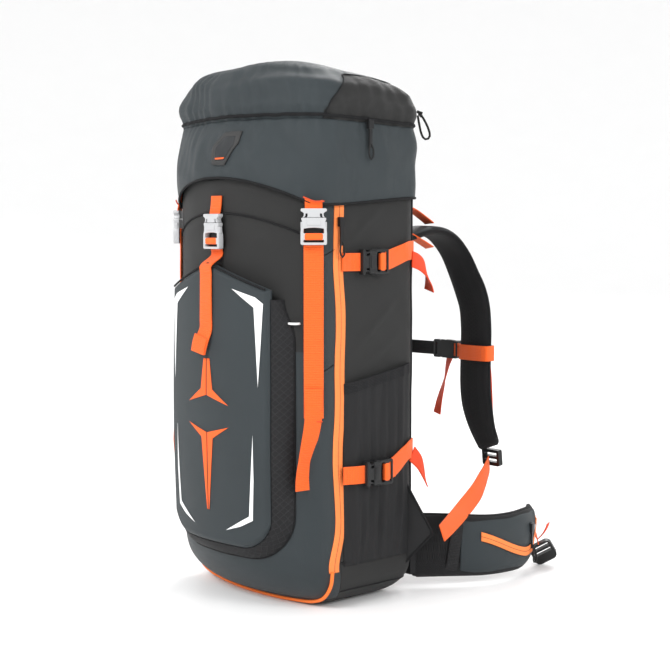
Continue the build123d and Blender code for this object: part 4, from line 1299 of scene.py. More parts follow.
@dataclass
class Closures:
    """Lid straps, pocket strap and side compression straps, with their buckles."""

    web: float = 25 * MM
    lid_mouth: float = 0.505
    front_mouth: float = 0.499
    stash_y: float = -0.1181
    side_x: float = 0.1501
    side_mouth: float = 0.007
    levels: tuple[tuple[str, float, float], ...] = (("upper", 0.449, 0.0), ("lower", 0.176, 9.0))

    def lid_straps(self) -> None:
        """Long corner straps below the lid, their sewn ends and free tails."""
        for name, side in SIDES:
            s = side * STRAP_S
            heights = [0.492 - 0.012 * i for i in range(21)]
            line = [BAG.point(s, h, 1.6 * MM) for h in heights]
            face = [BAG.normal(s, h) for h in heights]
            Ribbon(f"lid_strap_{name}", line, face, self.web).build(ORANGE, "pack", once("bag_webbing", side))
            tail_h = (0.290, 0.262, 0.240, 0.218, 0.196, 0.176, 0.160)
            shift = (0.0, 0.0, -0.002, -0.006, -0.010, -0.012, -0.012)
            lift = (3.4, 4.2, 4.6, 5.4, 5.8, 5.0, 4.2)
            points = [BAG.point(side * (STRAP_S + d), h, f * MM) for h, d, f in zip(tail_h, shift, lift)]
            twist = (0.0, 0.05, 0.25, 0.55, 0.75, 0.6, 0.45)
            facing = []
            for h, a in zip(tail_h, twist):
                out = BAG.normal(s, h)
                aside = Vector((0, 0, 1)).cross(out)
                facing.append((out * math.cos(a) + aside * math.sin(a) * side).normalized())
            Ribbon(f"lid_strap_tail_{name}", points, facing, self.web - 2 * MM).build(ORANGE, "pack")
            for index, h in enumerate((0.262, 0.248)):
                self.stitch(f"lid_strap_tack_{index}_{name}", s, h, "pack")
            self.stub(name, side)

    def stitch(self, name: str, s: float, h: float, body: str) -> None:
        """Sew a bartack across webbing on the bag."""
        line = [BAG.point(s + dx * MM, h, 3.2 * MM) for dx in (-10.5, -5, 0, 5, 10.5)]
        tube(name, line, 0.7 * MM, STITCH, body)

    def stub(self, name: str, side: int) -> None:
        """Short webbing from the lid's hem down into the plug."""
        s = side * STRAP_S
        out = BAG.normal(s, 0.5)
        line = [BAG.point(s, h, off * MM) for h, off in
                ((0.545, 3.0), (0.536, 3.0), (0.527, 3.6), (0.519, 5.4), (0.512, 5.8))]
        Ribbon(f"lid_stub_{name}", line, [out] * 5, self.web - 3 * MM).build(
            ORANGE, "lid", once("lid_stubs", side))
        edge = [LID.skirt(s + dx * MM, 0.04) + out * (4.2 * MM) for dx in (-12, -6, 0, 6, 12)]
        tube(f"lid_stub_tack_{name}", edge, 1.0 * MM, STITCH, "lid")

    def front_strap(self) -> None:
        """Strap that holds the pocket up, ending in a folded tab."""
        line = [BAG.point(0, h, 2.2 * MM) for h in (0.484, 0.474, 0.464, 0.456)]
        line += [POCKET.face(0.0, z, 1.6 * MM) for z in (0.444, 0.434, 0.415, 0.395, 0.375, 0.362)]
        face = [Vector((0, -1, 0))] * len(line)
        line += [POCKET.face(x, z, off * MM) for x, z, off in
                 ((-0.002, 0.352, 4.0), (-0.005, 0.342, 5.5), (-0.008, 0.331, 6.0))]
        face += [Vector((0, -1, 0.1)), Vector((0.05, -1, 0.1)), Vector((0.1, -1, 0.1))]
        Ribbon("stash_strap", line, face, self.web - 1 * MM).build(ORANGE, "pack")
        fold = [POCKET.face(x, z, off * MM) for x, z, off in
                ((-0.0045, 0.352, 5.8), (-0.007, 0.342, 7.4), (-0.0095, 0.330, 7.8))]
        Ribbon("stash_strap_fold", fold, [Vector((0.1, -1, 0.1))] * 3, self.web).build(ORANGE, "pack")
        stub = [BAG.point(0, h, off * MM) for h, off in
                ((0.534, 1.5), (0.524, 2.6), (0.514, 4.4), (0.506, 6.0))]
        Ribbon("stash_stub", stub, [Vector((0, -1, 0))] * 4, self.web - 3 * MM).build(ORANGE, "pack")

    def side_straps(self) -> None:
        """Compression straps, upper and lower, with tails behind the back edge."""
        for name, side in SIDES:
            for label, z, lift in self.levels:
                out = Vector((side, 0, 0))
                base = 0.1503 + lift * MM
                stub = [Vector((side * (base + b * MM), y * MM, z)) for y, b in
                        ((-34, -lift * 0.7 + 1), (-26, -lift * 0.4 + 1), (-18, 0.6), (-8, 2.5), (2, 3.5))]
                Ribbon(f"{label}_stub_{name}", stub, [out] * 5, self.web - 2 * MM).build(ORANGE, "pack")
                rise = 0.014 if label == "upper" else 0.022
                main = [Vector((side * (base + b * MM), y * MM, z + rise * t)) for y, b, t in
                        ((34, 4.0, 0.0), (44, 2.6, 0.1), (58, 0.4 - lift * 0.1, 0.35), (74, -lift * 0.5, 0.7),
                         (86, -lift * 0.7 - 0.5, 0.95))]
                main.append(Vector((side * 0.140, 0.1045, z + rise)))
                facing = [out] * 5 + [Vector((side * 0.6, 0.8, 0))]
                Ribbon(f"{label}_strap_{name}", main, facing, self.web).build(ORANGE, "pack")
                loop = [Vector((side * (base + b * MM), y * MM, z + (y - 30) * 0.0002)) for y, b in
                        ((28, 6.0), (36, 6.6), (46, 5.6))]
                Ribbon(f"{label}_keeper_{name}", loop, [out] * 3, self.web - 2 * MM).build(ORANGE, "pack")
                self.tail(label, name, side, z)

    def tail(self, label: str, name: str, side: int, z: float) -> None:
        """Free tail of a compression strap, which hangs behind the back edge."""
        if label == "upper":
            places = ((147, 96, 2), (143, 112, -2), (137, 128, -9), (132, 139, -19), (129, 146, -31),
                      (127, 149, -42))
            twist = (0.0, 0.3, 0.7, 1.1, 1.3, 1.4)
        else:
            places = ((146, 98, 14), (142, 116, 0), (138, 128, -16), (136, 136, -32))
            twist = (0.0, 0.4, 0.8, 1.0)
        line = [mm(side * x, y, z * 1000 + dz) for x, y, dz in places]
        facing = [Vector((side * math.cos(a), math.sin(a) * 0.8, 0.15)) for a in twist]
        # The tail's darker orange is painted shade.
        Ribbon(f"{label}_tail_{name}", line, facing, self.web - 3 * MM).build(ORANGE_PAINTED_SHADE, "pack")

    def buckles(self) -> None:
        """Mould every side-release buckle, on the lid, the pocket strap and the sides."""
        up, ahead = Vector((0, 0, 1)), Vector((0, -1, 0))
        corner = BAG.point(STRAP_S, self.lid_mouth, 2.1 * MM)
        out = BAG.normal(STRAP_S, self.lid_mouth)
        for name, side in SIDES:
            face = Vector((side * out.x, out.y, 0)).normalized()
            seat = Vector((side * corner.x, corner.y, self.lid_mouth))
            buckle = Buckle(f"lid_buckle_{name}", SILVER, seat, face, up)
            buckle.socket(f"lid_socket_{name}", [f"lid_socket_{name}"])
            buckle.plug("lid", once("lid_plugs", side))
            for label, z, lift in self.levels:
                seat = Vector((side * (self.side_x + lift * MM), self.side_mouth, z))
                buckle = Buckle(f"side_buckle_{label}_{name}", BLACK, seat, Vector((side, 0, 0)), ahead)
                buckle.socket("pack")
                buckle.plug(f"side_plug_{label}_{name}", [f"side_plug_{label}_{name}"])
        seat = Vector((0, self.stash_y, self.front_mouth))
        stash = Buckle("stash_buckle", SILVER, seat, ahead, up)
        stash.socket("pack", ["fixed_sockets"])
        stash.plug("stash_plug", ["stash_plug"])

    def build(self) -> None:
        """Build every strap and dress every buckle."""
        self.lid_straps()
        self.front_strap()
        self.side_straps()
        self.buckles()


# ---------------------------------------------------------------- padded pieces


@dataclass
class Pad:
    """A padded form swept along a line: even-sided, crowned, with pulled-in ends."""

    name: str
    centre: Callable[[float], Vector]
    across: Callable[[float], Vector]
    out: Callable[[float], Vector]
    half_w: Callable[[float], float]
    half_t: float
    steps: tuple[int, int] = (40, 70)
    end: float = 0.04
    length: float = 0.3
    boxy: float = 0.35
    crown: float = 0.55
    pucker: float = 0.6 * MM

    def surface(self, u: float, v: float) -> Vector:
        """Return the point at u round the section and v along the line, both shares."""
        angle = 2 * math.pi * u
        c, s = math.cos(angle), math.sin(angle)
        near = min(v, 1 - v)
        close = 1.0 if near > self.end else math.sqrt(max(0.0, 1 - (1 - near / self.end) ** 2))
        wide = math.copysign(abs(c) ** self.boxy, c) * self.half_w(v) * (0.86 + 0.14 * close)
        thick = math.copysign(abs(s) ** self.crown, s) * self.half_t * close
        wave = noise.noise(Vector((wide * 40, v * self.length * 40, s))) * self.pucker * close
        spot = self.centre(v)
        return spot + self.across(v) * wide + self.out(v) * (thick + wave)

    def build(self, finish: Finish, body: str, nodes: Iterable[str] = (), fill: float = 0.7,
              second: Optional[SecondCloth] = None) -> bpy.types.Object:
        """Args:
            finish: Its cover.
            body: The body it moves with.
            nodes: CAD nodes that it stands for.
            fill: How tight its filling is; not used.
            second: Another cover and where it shows.

        Returns:
            The object.
        """
        made = Patch(self.name, self.surface, (0.0, 1.0), (0.0, 1.0), self.steps, 0.0, closed=True).build(
            finish, body, (), second)
        bm = bmesh.new()
        bm.from_mesh(made.data)
        rims = [edge for edge in bm.edges if edge.is_boundary]
        bmesh.ops.holes_fill(bm, edges=rims, sides=0)
        bmesh.ops.recalc_face_normals(bm, faces=bm.faces[:])
        girth = 2 * self.half_w(0.5)
        layer = bm.loops.layers.uv.active
        for face in bm.faces:
            for loop in face.loops:
                u, v = loop[layer].uv
                loop[layer].uv = (abs(2 * u - 1) * girth, v * self.length)
        bm.to_mesh(made.data)
        bm.free()
        for face in made.data.polygons:
            face.use_smooth = True
        names = list(nodes)
        if names:
            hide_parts(*names)
        return made


@dataclass
class Route:
    """A smooth line with its forward, sideways and outward directions at each share of its length."""

    points: Sequence[Vector]
    sideways: Vector
    count: int = 90

    def __post_init__(self) -> None:
        """Step the line evenly."""
        self.line = curve_points(list(self.points), self.count)

    def at(self, v: float) -> Vector:
        """Return the point at a share of the length."""
        where = min(1.0, max(0.0, v)) * (self.count - 1)
        i = min(self.count - 2, int(where))
        return self.line[i].lerp(self.line[i + 1], where - i)

    def ahead(self, v: float) -> Vector:
        """Return the forward direction."""
        return (self.at(v + 0.02) - self.at(v - 0.02)).normalized()

    def across(self, v: float) -> Vector:
        """Return the sideways direction."""
        ahead = self.ahead(v)
        return (self.sideways - ahead * self.sideways.dot(ahead)).normalized()

    def out(self, v: float) -> Vector:
        """Return the direction off the line's face."""
        return self.across(v).cross(self.ahead(v)).normalized()


@dataclass
class BackSystem:
    """Foam pads against the back, the yoke, the haul loop and what is sewn round them."""

    back_y: float = 0.105

    def upright(self, name: str, x: float, half: float, low: float, high: float, deep: float,
                nodes: Iterable[str], slack: float = 0.65) -> None:
        """Build one pad that stands against the back.

        Args:
            name: The pad's name.
            x: Its middle.
            half: Half its width.
            low: Its lower edge.
            high: Its upper edge.
            deep: Its thickness.
            nodes: CAD nodes that it stands for.
            slack: How tight its filling is.
        """
        route = Route([Vector((x, self.back_y + deep / 2, z)) for z in (low, (low + high) / 2, high)],
                      Vector((1, 0, 0)))

        def width(v: float) -> float:
            """Return the half width, pulled in between the pad's ends."""
            return half * (1 - 0.05 * math.sin(math.pi * v))

        pad = Pad(name, route.at, route.across, route.out, width, deep / 2, length=high - low,
                  steps=(72, 90), end=0.012 / (high - low), pucker=1.0 * MM)
        made = pad.build(SPACER, "pack", nodes, slack)
        channels = [low + (high - low) * share for share in (0.26, 0.5, 0.74)] if high - low > 0.15 else []
        for vert in made.data.vertices:
            if vert.co.y > self.back_y + deep * 0.5:
                for level in channels:
                    vert.co.y -= 0.005 * math.exp(-((vert.co.z - level) / 0.005) ** 2)
        edge = 0.0015
        middle = (low + high) / 2
        ring = [Vector((x + dx * (half - edge), self.back_y + deep * 0.45, z)) for dx, z in
                ((-1, low + 0.014), (-0.98, middle), (-1, high - 0.014), (-0.8, high - edge),
                 (0, high - edge), (0.8, high - edge), (1, high - 0.014), (0.98, middle), (1, low + 0.014),
                 (0.8, low + edge), (0, low + edge), (-0.8, low + edge))]
        line = curve_points(ring + [ring[0]], 120)[:-1]
        tube(f"{name}_piping", line, 1.8 * MM, BINDING, "pack", closed=True)

    def build(self) -> None:
        """Build the pads and dress the kept pieces."""
        self.upright("back_pad_right", 0.054, 0.0375, 0.169, 0.421, 0.0150, ["back_pads"])
        self.upright("back_pad_left", -0.054, 0.0375, 0.169, 0.421, 0.0150, ())
        self.upright("lumbar_cushion", 0.0, 0.0915, 0.0665, 0.1595, 0.0180, ["lumbar_pad"])
        self.upright("yoke_pad", 0.0, 0.0955, 0.4305, 0.4835, 0.0140, ["harness_yoke"])
        finish_node("haul_loop", CORD_BLACK)
        finish_node("lid_hinge_hem", BINDING)
        finish_node("hip_anchors", FOAM_EDGE)
        finish_node("frame_sheet", SHEET)
        finish_node("frame_stays", STAY)
        finish_node("collar_drawcord", CORD_BLACK)
        finish_node("gear_loops", CORD_WHITE)


@dataclass
class ShoulderStrap:
    """One shoulder strap with its webbing, lifter, adjuster and sternum slider."""

    name: str
    side: int
    half_w: float = 27 * MM
    half_t: float = 7 * MM

    def place(self, x: float, y: float, z: float) -> Vector:
        """Return a point in millimetres on this side, in metres."""
        return mm(x * self.side, y, z)

    def route(self) -> Route:
        """Return the strap's middle line."""
        spots = ((58, 127, 466), (58, 140, 471), (58, 165, 481), (59, 205, 489), (60, 240, 482),
                 (62, 267, 458), (71, 282, 420), (85, 285, 385), (90, 285, 350), (90, 285, 320),
                 (90, 285, 255), (99, 288, 208), (111, 294, 174))
        return Route([self.place(*spot) for spot in spots], Vector((self.side, 0, 0)))

    def foam(self) -> None:
        """Foam strap with bound edges and grey cloth over its top."""
        route = self.route()

        def width(v: float) -> float:
            """Return the half width, narrower at both ends."""
            return self.half_w * (0.86 + 0.14 * smooth(0.0, 0.12, v)) * (1 - 0.26 * smooth(0.84, 1.0, v))

        def grey(u: float, v: float) -> bool:
            """Return whether the grey cloth shows: on the outer face, near the root."""
            outer = u < 0.5 if self.side > 0 else u > 0.5
            return v < 0.17 and outer

        pad = Pad(f"shoulder_pad_{self.name}", route.at, route.across, route.out, width, self.half_t,
                  length=0.47, steps=(48, 150), end=0.018, boxy=0.5, crown=0.7)
        pad.build(FOAM_EDGE, f"shoulder_{self.name}", [f"shoulder_strap_{self.name}"], 0.8, (GREY, grey))
        for label, turn in (("inner", -1), ("outer", 1)):
            line = [route.at(v / 40) + route.across(v / 40) * (turn * width(v / 40) * 0.985)
                    for v in range(1, 40)]
            tube(f"strap_binding_{label}_{self.name}", line, 2.6 * MM, BINDING, f"shoulder_{self.name}")

    def webbing(self) -> None:
        """Orange webbing down the strap's face, its free end, and the lower webbing."""
        route = self.route()
        body = f"shoulder_{self.name}"
        outward = -1 if route.out(0.6).y < 0 else 1
        shares = [0.50 + 0.035 * i for i in range(13)]
        line = [route.at(v) + route.out(v) * (outward * (self.half_t + 1.5 * MM)) for v in shares]
        face = [route.out(v) * outward for v in shares]
        Ribbon(f"strap_face_webbing_{self.name}", line, face, 20 * MM).build(
            ORANGE, body, [f"strap_webbing_{self.name}"])
        start = line[2]
        drop = [start, start + self.place(7, 4.5, -34), start + self.place(14, 6.0, -72),
                start + self.place(17, 6.5, -110), start + self.place(17, 8.0, -136)]
        # The free end's darker orange is painted shade.
        Ribbon(f"strap_free_tail_{self.name}", drop, [Vector((self.side * 0.55, 0.8, 0))] * 5, 17 * MM).build(
            ORANGE_PAINTED_SHADE, body)
        lower = [(112, 291, 152), (118, 281, 146), (130, 256, 132), (143, 229, 120), (160, 186, 106),
                 (175, 146, 94), (185, 116, 85)]
        aim = [(0.3, 0.9, 0.3), (0.5, 0.7, 0.5), (0.62, 0.5, 0.6), (0.7, 0.4, 0.6), (0.8, 0.3, 0.5),
               (0.9, 0.3, 0.3), (0.9, 0.3, 0.2)]
        Ribbon(f"lower_webbing_{self.name}", [self.place(*p) for p in lower],
               [Vector((self.side * a[0], a[1], a[2])) for a in aim], 24 * MM).build(ORANGE, body)
        thin = [(108, 290, 146), (116, 268, 122), (132, 238, 108), (152, 196, 98)]
        # The free webbing's darker orange is painted shade.
        Ribbon(f"lower_webbing_free_{self.name}", [self.place(*p) for p in thin],
               [Vector((self.side, 0.2, 0.1))] * 4, 10 * MM).build(ORANGE_PAINTED_SHADE, body)
        finish_node(f"ladder_lock_{self.name}", BLACK, 0.6 * MM)

    def lifter(self) -> None:
        """Load lifter that arcs from the bag's top edge to the strap, and its free end."""
        runs = {"load_lifter": ((50, 107, 509), (52, 122, 519), (55, 148, 526), (59, 178, 520),
                                (62, 202, 507), (64, 214, 499)),
                "load_lifter_free": ((60, 108, 505), (66, 128, 499), (73, 152, 488), (80, 176, 475),
                                     (85, 193, 465))}
        for label, spots in runs.items():
            line = [self.place(*spot) for spot in spots]
            route = Route(line, Vector((self.side, 0, 0)))
            face = [route.out(i / (len(line) - 1)) for i in range(len(line))]
            made = Ribbon(f"{label}_{self.name}", line, face, 20 * MM).build(ORANGE, "")
            self.settle(made)
            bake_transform(made)

    @staticmethod
    def settle(thing: bpy.types.Object) -> None:
        """Apply a piece's modifiers, so that its mesh is final."""
        depsgraph = bpy.context.evaluated_depsgraph_get()
        mesh = bpy.data.meshes.new_from_object(thing.evaluated_get(depsgraph))
        thing.modifiers.clear()
        thing.data = mesh

    def sternum(self) -> None:
        """Sternum webbing: round the strap, with the slider and the run to the buckle."""
        body = f"sternum_{self.name}"
        right = self.side > 0
        finish = ORANGE if right else BLACK_WEB
        hoop = [(62.5, 287, 312), (63.5, 294.5, 312), (74, 296.6, 312), (90, 297, 312), (106, 296.6, 312),
                (116.5, 294.5, 312), (118.5, 287, 312), (116, 276, 312), (90, 274.2, 312), (66, 276, 312)]
        facing = [(-1, 0.2), (-0.6, 0.8), (0, 1), (0, 1), (0, 1), (0.6, 0.8), (1, 0), (0.5, -0.8), (0, -1),
                  (-0.6, -0.8)]
        points = [self.place(*spot) for spot in hoop] + [self.place(*hoop[0])]
        faces = [Vector((self.side * a, b, 0)) for a, b in facing] + [Vector((-self.side, 0.2, 0))]
        Ribbon(f"sternum_hoop_{self.name}", points, faces, 22 * MM).build(
            finish, body, [f"sternum_slider_{self.name}"])
        inner = 20 if right else 8
        run = [self.place(x, y, 312) for x, y in
               ((82, 298.6), (66, 297.8), (48, 297.4), (inner + 8, 299), (inner, 300))]
        Ribbon(f"sternum_webbing_{self.name}", run, [Vector((0, 1, 0))] * 5, 20 * MM).build(finish, body)
        if right:
            spots = ((24, 303, 306), (17, 303.5, 290), (11, 302, 262), (5, 299, 236), (1, 297, 213))
            aims = ((0.35, 0.9), (0.5, 0.8), (0.6, 0.6), (0.3, 0.9), (0.2, 0.9))
            # The tail's darker orange is painted shade.
            Ribbon("sternum_tail", [self.place(*spot) for spot in spots],
                   [Vector((a, b, 0)) for a, b in aims], 18 * MM).build(ORANGE_PAINTED_SHADE, body)

    def build(self) -> None:
        """Build the strap."""
        self.foam()
        self.webbing()
        self.lifter()
        self.sternum()


@dataclass
class HipFin:
    """One padded hip fin with its pocket, curved zip and belt end."""

    name: str
    side: int
    root: tuple[float, float] = (0.1225, 0.120)
    centre: tuple[float, float] = (0.066, 0.252)
    radius: float = 0.118
    start: float = -32.0
    end: float = 42.0
    low: float = 0.011
    thick: float = 14 * MM
    pocket_start: float = 0.068
    pocket_short: float = 0.006
    zip_start: float = 0.096
    zip_short: float = 0.004

    @property
    def straight(self) -> float:
        """Length of the run before the curve."""
        first = self.ring(self.start)
        return math.dist(first, self.root)

    @property
    def length(self) -> float:
        """Length of the fin's middle line."""
        return self.straight + self.radius * math.radians(self.end - self.start)

    def ring(self, degrees: float) -> tuple[float, float]:
        """Return the plan point on the curve at an angle."""
        turn = math.radians(degrees)
        return self.centre[0] + self.radius * math.cos(turn), self.centre[1] + self.radius * math.sin(turn)

    def plan(self, d: float) -> tuple[Vector, Vector]:
        """Return the plan point and the outward direction at a length along the fin."""
        first = self.ring(self.start)
        if d < self.straight:
            t = d / self.straight
            x = self.root[0] + (first[0] - self.root[0]) * t
            y = self.root[1] + (first[1] - self.root[1]) * t
            run = Vector((first[0] - self.root[0], first[1] - self.root[1], 0)).normalized()
            out = Vector((run.y, -run.x, 0))
            turn = math.radians(self.start)
            late = smooth(0.6, 1.0, t) * 0.5
            out = out.lerp(Vector((math.cos(turn), math.sin(turn), 0)), late).normalized()
        else:
            turn = math.radians(self.start) + (d - self.straight) / self.radius
            x = self.centre[0] + self.radius * math.cos(turn)
            y = self.centre[1] + self.radius * math.sin(turn)
            out = Vector((math.cos(turn), math.sin(turn), 0))
        return Vector((x * self.side, y, 0)), Vector((out.x * self.side, out.y, 0))

    def edges(self, d: float) -> tuple[float, float]:
        """Return the fin's lower and upper edges at a length along it."""
        t = d / self.length
        low = self.low + 0.004 * (1 - t) + 0.012 * smooth(0.72, 1.0, t)
        high = 0.1005 - 0.0075 * smooth(0.0, 0.6, t) - 0.003 * smooth(0.75, 1.0, t)
        return low, high

    def face(self, d: float, share: float, off: float) -> Vector:
        """Return a point on the fin's outer face: a length along it and a share of its height."""
        spot, out = self.plan(d)
        low, high = self.edges(d)
        crown = (abs(2 * share - 1)) ** 6 * 5.0 * MM
        gather = math.sin(d * 900) * 0.9 * MM * smooth(0.190, 0.225, d) * smooth(0.5, 0.75, share)
        wave = noise.noise(Vector((d * 24, share * 3, 5.5 + self.side))) * 1.3 * MM
        rise = Vector((0, 0, low + (high - low) * share))
        return spot + out * (self.thick / 2 + off - crown + gather + wave) + rise

    def pad(self) -> None:
        """Padded body of the fin, with its bindings."""
        def centre(v: float) -> Vector:
            """Return the section's middle."""
            d = v * self.length
            low, high = self.edges(d)
            return self.plan(d)[0] + Vector((0, 0, (low + high) / 2))

        def half(v: float) -> float:
            """Return half the fin's height."""
            low, high = self.edges(v * self.length)
            return (high - low) / 2

        def outward(v: float) -> Vector:
            """Return the outward direction."""
            return self.plan(v * self.length)[1]

        def upward(v: float) -> Vector:
            """Return the direction across the fin, which is up."""
            return Vector((0, 0, 1))

        pad = Pad(f"hip_pad_{self.name}", centre, upward, outward, half, self.thick / 2, length=self.length,
                  steps=(60, 120), end=0.02, boxy=0.35, crown=0.45)
        pad.build(SPACER, f"fin_{self.name}", [f"hip_fin_{self.name}"], 0.75)
        body = f"fin_{self.name}"
        for label, share in (("top", 0.985), ("low", 0.015)):
            line = [self.face(self.length * i / 30, share, -3.5 * MM) for i in range(1, 31)]
            tube(f"fin_binding_{label}_{self.name}", line, 3.4 * MM, BINDING, body)
        end = [self.face(self.length - 0.001, share, -3.0 * MM) for share in (0.99, 0.7, 0.4, 0.1, 0.01)]
        tube(f"fin_binding_end_{self.name}", end, 3.0 * MM, BINDING, body)
        strip = [self.face(0.066 - 0.012 * (1 - t), t, 1.6 * MM) for t in (0.03, 0.25, 0.5, 0.75, 0.97)]
        out = self.plan(0.06)[1]
        Ribbon(f"fin_strip_{self.name}", strip, [out] * 5, 16 * MM).build(BLACK_WEB, body)

    def zip_share(self, d: float) -> float:
        """Return the height share of the curved zip at a length along the fin."""
        t = (d - 0.100) / (self.length - 0.104)
        return 0.70 - 0.40 * smooth(-0.15, 0.62, t) + 0.42 * smooth(0.74, 1.02, t)

    def fullness(self, d: float) -> float:
        """Return how full the pocket is at a length along the fin, from 0 at its ends to 1."""
        t = min(1, max(0, (d - self.pocket_start) / (self.length - 0.074)))
        return math.sin(math.pi * t) ** 0.5

    def pocket(self) -> None:
        """Slate pocket cloth with the curved zip."""
        body = f"fin_{self.name}"

        def cloth(u: float, v: float) -> Vector:
            """Return the pocket cloth's point."""
            d = u if self.side > 0 else self.pocket_start + self.length - self.pocket_short - u
            share = 0.045 + 0.91 * v
            fat = self.fullness(d)
            groove = math.exp(-((share - self.zip_share(d)) / 0.10) ** 2) if d > 0.1 else 0.0
            return self.face(d, share, (1.2 + 3.6 * fat * math.sin(math.pi * v) ** 0.6 - 1.2 * groove) * MM)

        def strip(u: float, v: float) -> Vector:
            """Return the zip tape's point."""
            d = v if self.side > 0 else self.zip_start + self.length - self.zip_short - v
            share = self.zip_share(d) + u / 0.084
            return self.face(d, share, (3.0 + 3.0 * self.fullness(d)) * MM)

        span = (self.pocket_start, self.length - self.pocket_short)
        made = Patch(f"hip_pocket_cloth_{self.name}", cloth, span, (0.0, 1.0), (90, 44), 1.0 * MM).build(
            GREY, body, [f"hip_pocket_{self.name}"])
        stretch_uv(made, 0.08)
        span = (self.zip_start, self.length - self.zip_short)
        flipped = Patch(f"hip_zip_tape_{self.name}", strip, (-6.5 * MM, 6.5 * MM), span, (6, 80),
                        1.0 * MM).build(TAPE, body)
        bm = bmesh.new()
        bm.from_mesh(flipped.data)
        if sum(face.normal.x * face.calc_area() for face in bm.faces) * self.side < 0:
            bmesh.ops.reverse_faces(bm, faces=bm.faces[:])
        bm.to_mesh(flipped.data)
        bm.free()
        finish_node(f"hip_zip_slider_{self.name}", METAL, 0.4 * MM)

    def pull(self) -> None:
        """Cord loop on the pocket's zip pull."""
        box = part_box(f"hip_zip_slider_{self.name}")
        low = Vector(((box[0][0] + box[1][0]) / 2 + self.side * 0.002, (box[0][1] + box[1][1]) / 2,
                      box[0][2] + 0.003))
        shape = ((0, 0, 2), (4, -3, -4), (5, -4, -13), (4, -2, -21), (4, 2, -23), (4, 4, -20), (4, 3, -12),
                 (2, 2, -4), (0, 1, 2))
        ring = [low + Vector((x * self.side * MM, y * MM, max(z * MM, 0.002 - low.z))) for x, y, z in shape]
        tube(f"hip_zip_cord_{self.name}", ring, 1.4 * MM, CORD_BLACK, f"hip_zip_{self.name}")

    def belt_end(self) -> None:
        """Webbing out of the fin's end, the adjuster and its free tail."""
        body = f"hip_belt_end_{self.name}"
        out = self.plan(self.length)[1]
        line = [mm(x * self.side, y, z) for x, y, z in
                ((152.0, 333.0, 57), (154.5, 338.5, 53), (158, 344, 44), (160, 346, 33))]
        Ribbon(f"belt_end_webbing_{self.name}", line, [out] * 4, 25 * MM).build(
            ORANGE, body, [f"hip_webbing_{self.name}"])
        tail = [mm(x * self.side, y, z) for x, y, z in
                ((162, 343, 40), (169, 344, 47), (176, 343.5, 56), (181, 343, 66))]
        # The free tail's darker orange is painted shade.
        Ribbon(f"belt_end_tail_{self.name}", tail, [Vector((self.side, 0.4, -0.5))] * 4, 9 * MM).build(
            ORANGE_PAINTED_SHADE, body)
        finish_node(f"hip_buckle_{self.name}", BLACK, 0.8 * MM)

    def wing(self) -> None:
        """Triangular stabiliser wing from the bag's side to the lower webbing."""
        high, low = Vector((0.1465 * self.side, 0.086, 0.152)), Vector((0.1465 * self.side, 0.086, 0.044))
        tip = Vector((0.1745 * self.side, 0.1095, 0.084))

        def surface(u: float, v: float) -> Vector:
            """Return the wing's point, u from the bag to the tip and v up its root."""
            along = u if self.side > 0 else 1 - u
            root = low.lerp(high, v)
            sag = math.sin(math.pi * v) * math.sin(math.pi * along) * 1.5 * MM
            return root.lerp(tip, along * 0.94) + Vector((self.side * sag, 0, 0))

        Patch(f"stabiliser_{self.name}", surface, (0.0, 1.0), (0.0, 1.0), (16, 24), 2.4 * MM).build(
            MESH_WING, "pack", once("stabiliser_wings", self.side))
        for label, start in (("top", high), ("low", low)):
            tube(f"stabiliser_binding_{label}_{self.name}", [start, start.lerp(tip, 0.5), tip], 1.6 * MM,
                 BINDING, "pack")

    def build(self) -> None:
        """Build the fin."""
        self.pad()
        self.pocket()
        self.pull()
        self.belt_end()
        self.wing()


@dataclass
class Pulls:
    """Zip sliders on the bag and the lid, with cord loops."""

    def build(self) -> None:
        """Dress the sliders and tie their cords."""
        for name, side in SIDES:
            finish_node(f"front_zip_slider_{name}", METAL, 0.4 * MM)
            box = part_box(f"front_zip_slider_{name}")
            self.cord(f"front_zip_cord_{name}", box, side, f"front_zip_{name}")
        finish_node("lid_zip_slider", METAL, 0.4 * MM)
        self.cord("lid_zip_cord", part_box("lid_zip_slider"), 1, "lid_zip_pull")

    def cord(self, name: str, box: tuple, side: int, body: str) -> None:
        """Tie a small loop of cord through a pull.

        Args:
            name: The cord's name.
            box: The slider's box.
            side: Which side of the bag it hangs on.
            body: The body it moves with.
        """
        low = Vector(((box[0][0] + box[1][0]) / 2, (box[0][1] + box[1][1]) / 2, box[0][2] + 0.004))
        shape = ((0, 0, 2), (2, -3, -4), (2, -4, -12), (2, -1, -18), (2, 2, -18), (2, 4, -12), (2, 3, -4),
                 (0, 1, 2))
        tube(name, [low + mm(x * side, y, z) for x, y, z in shape], 1.1 * MM, CORD_BLACK, body)


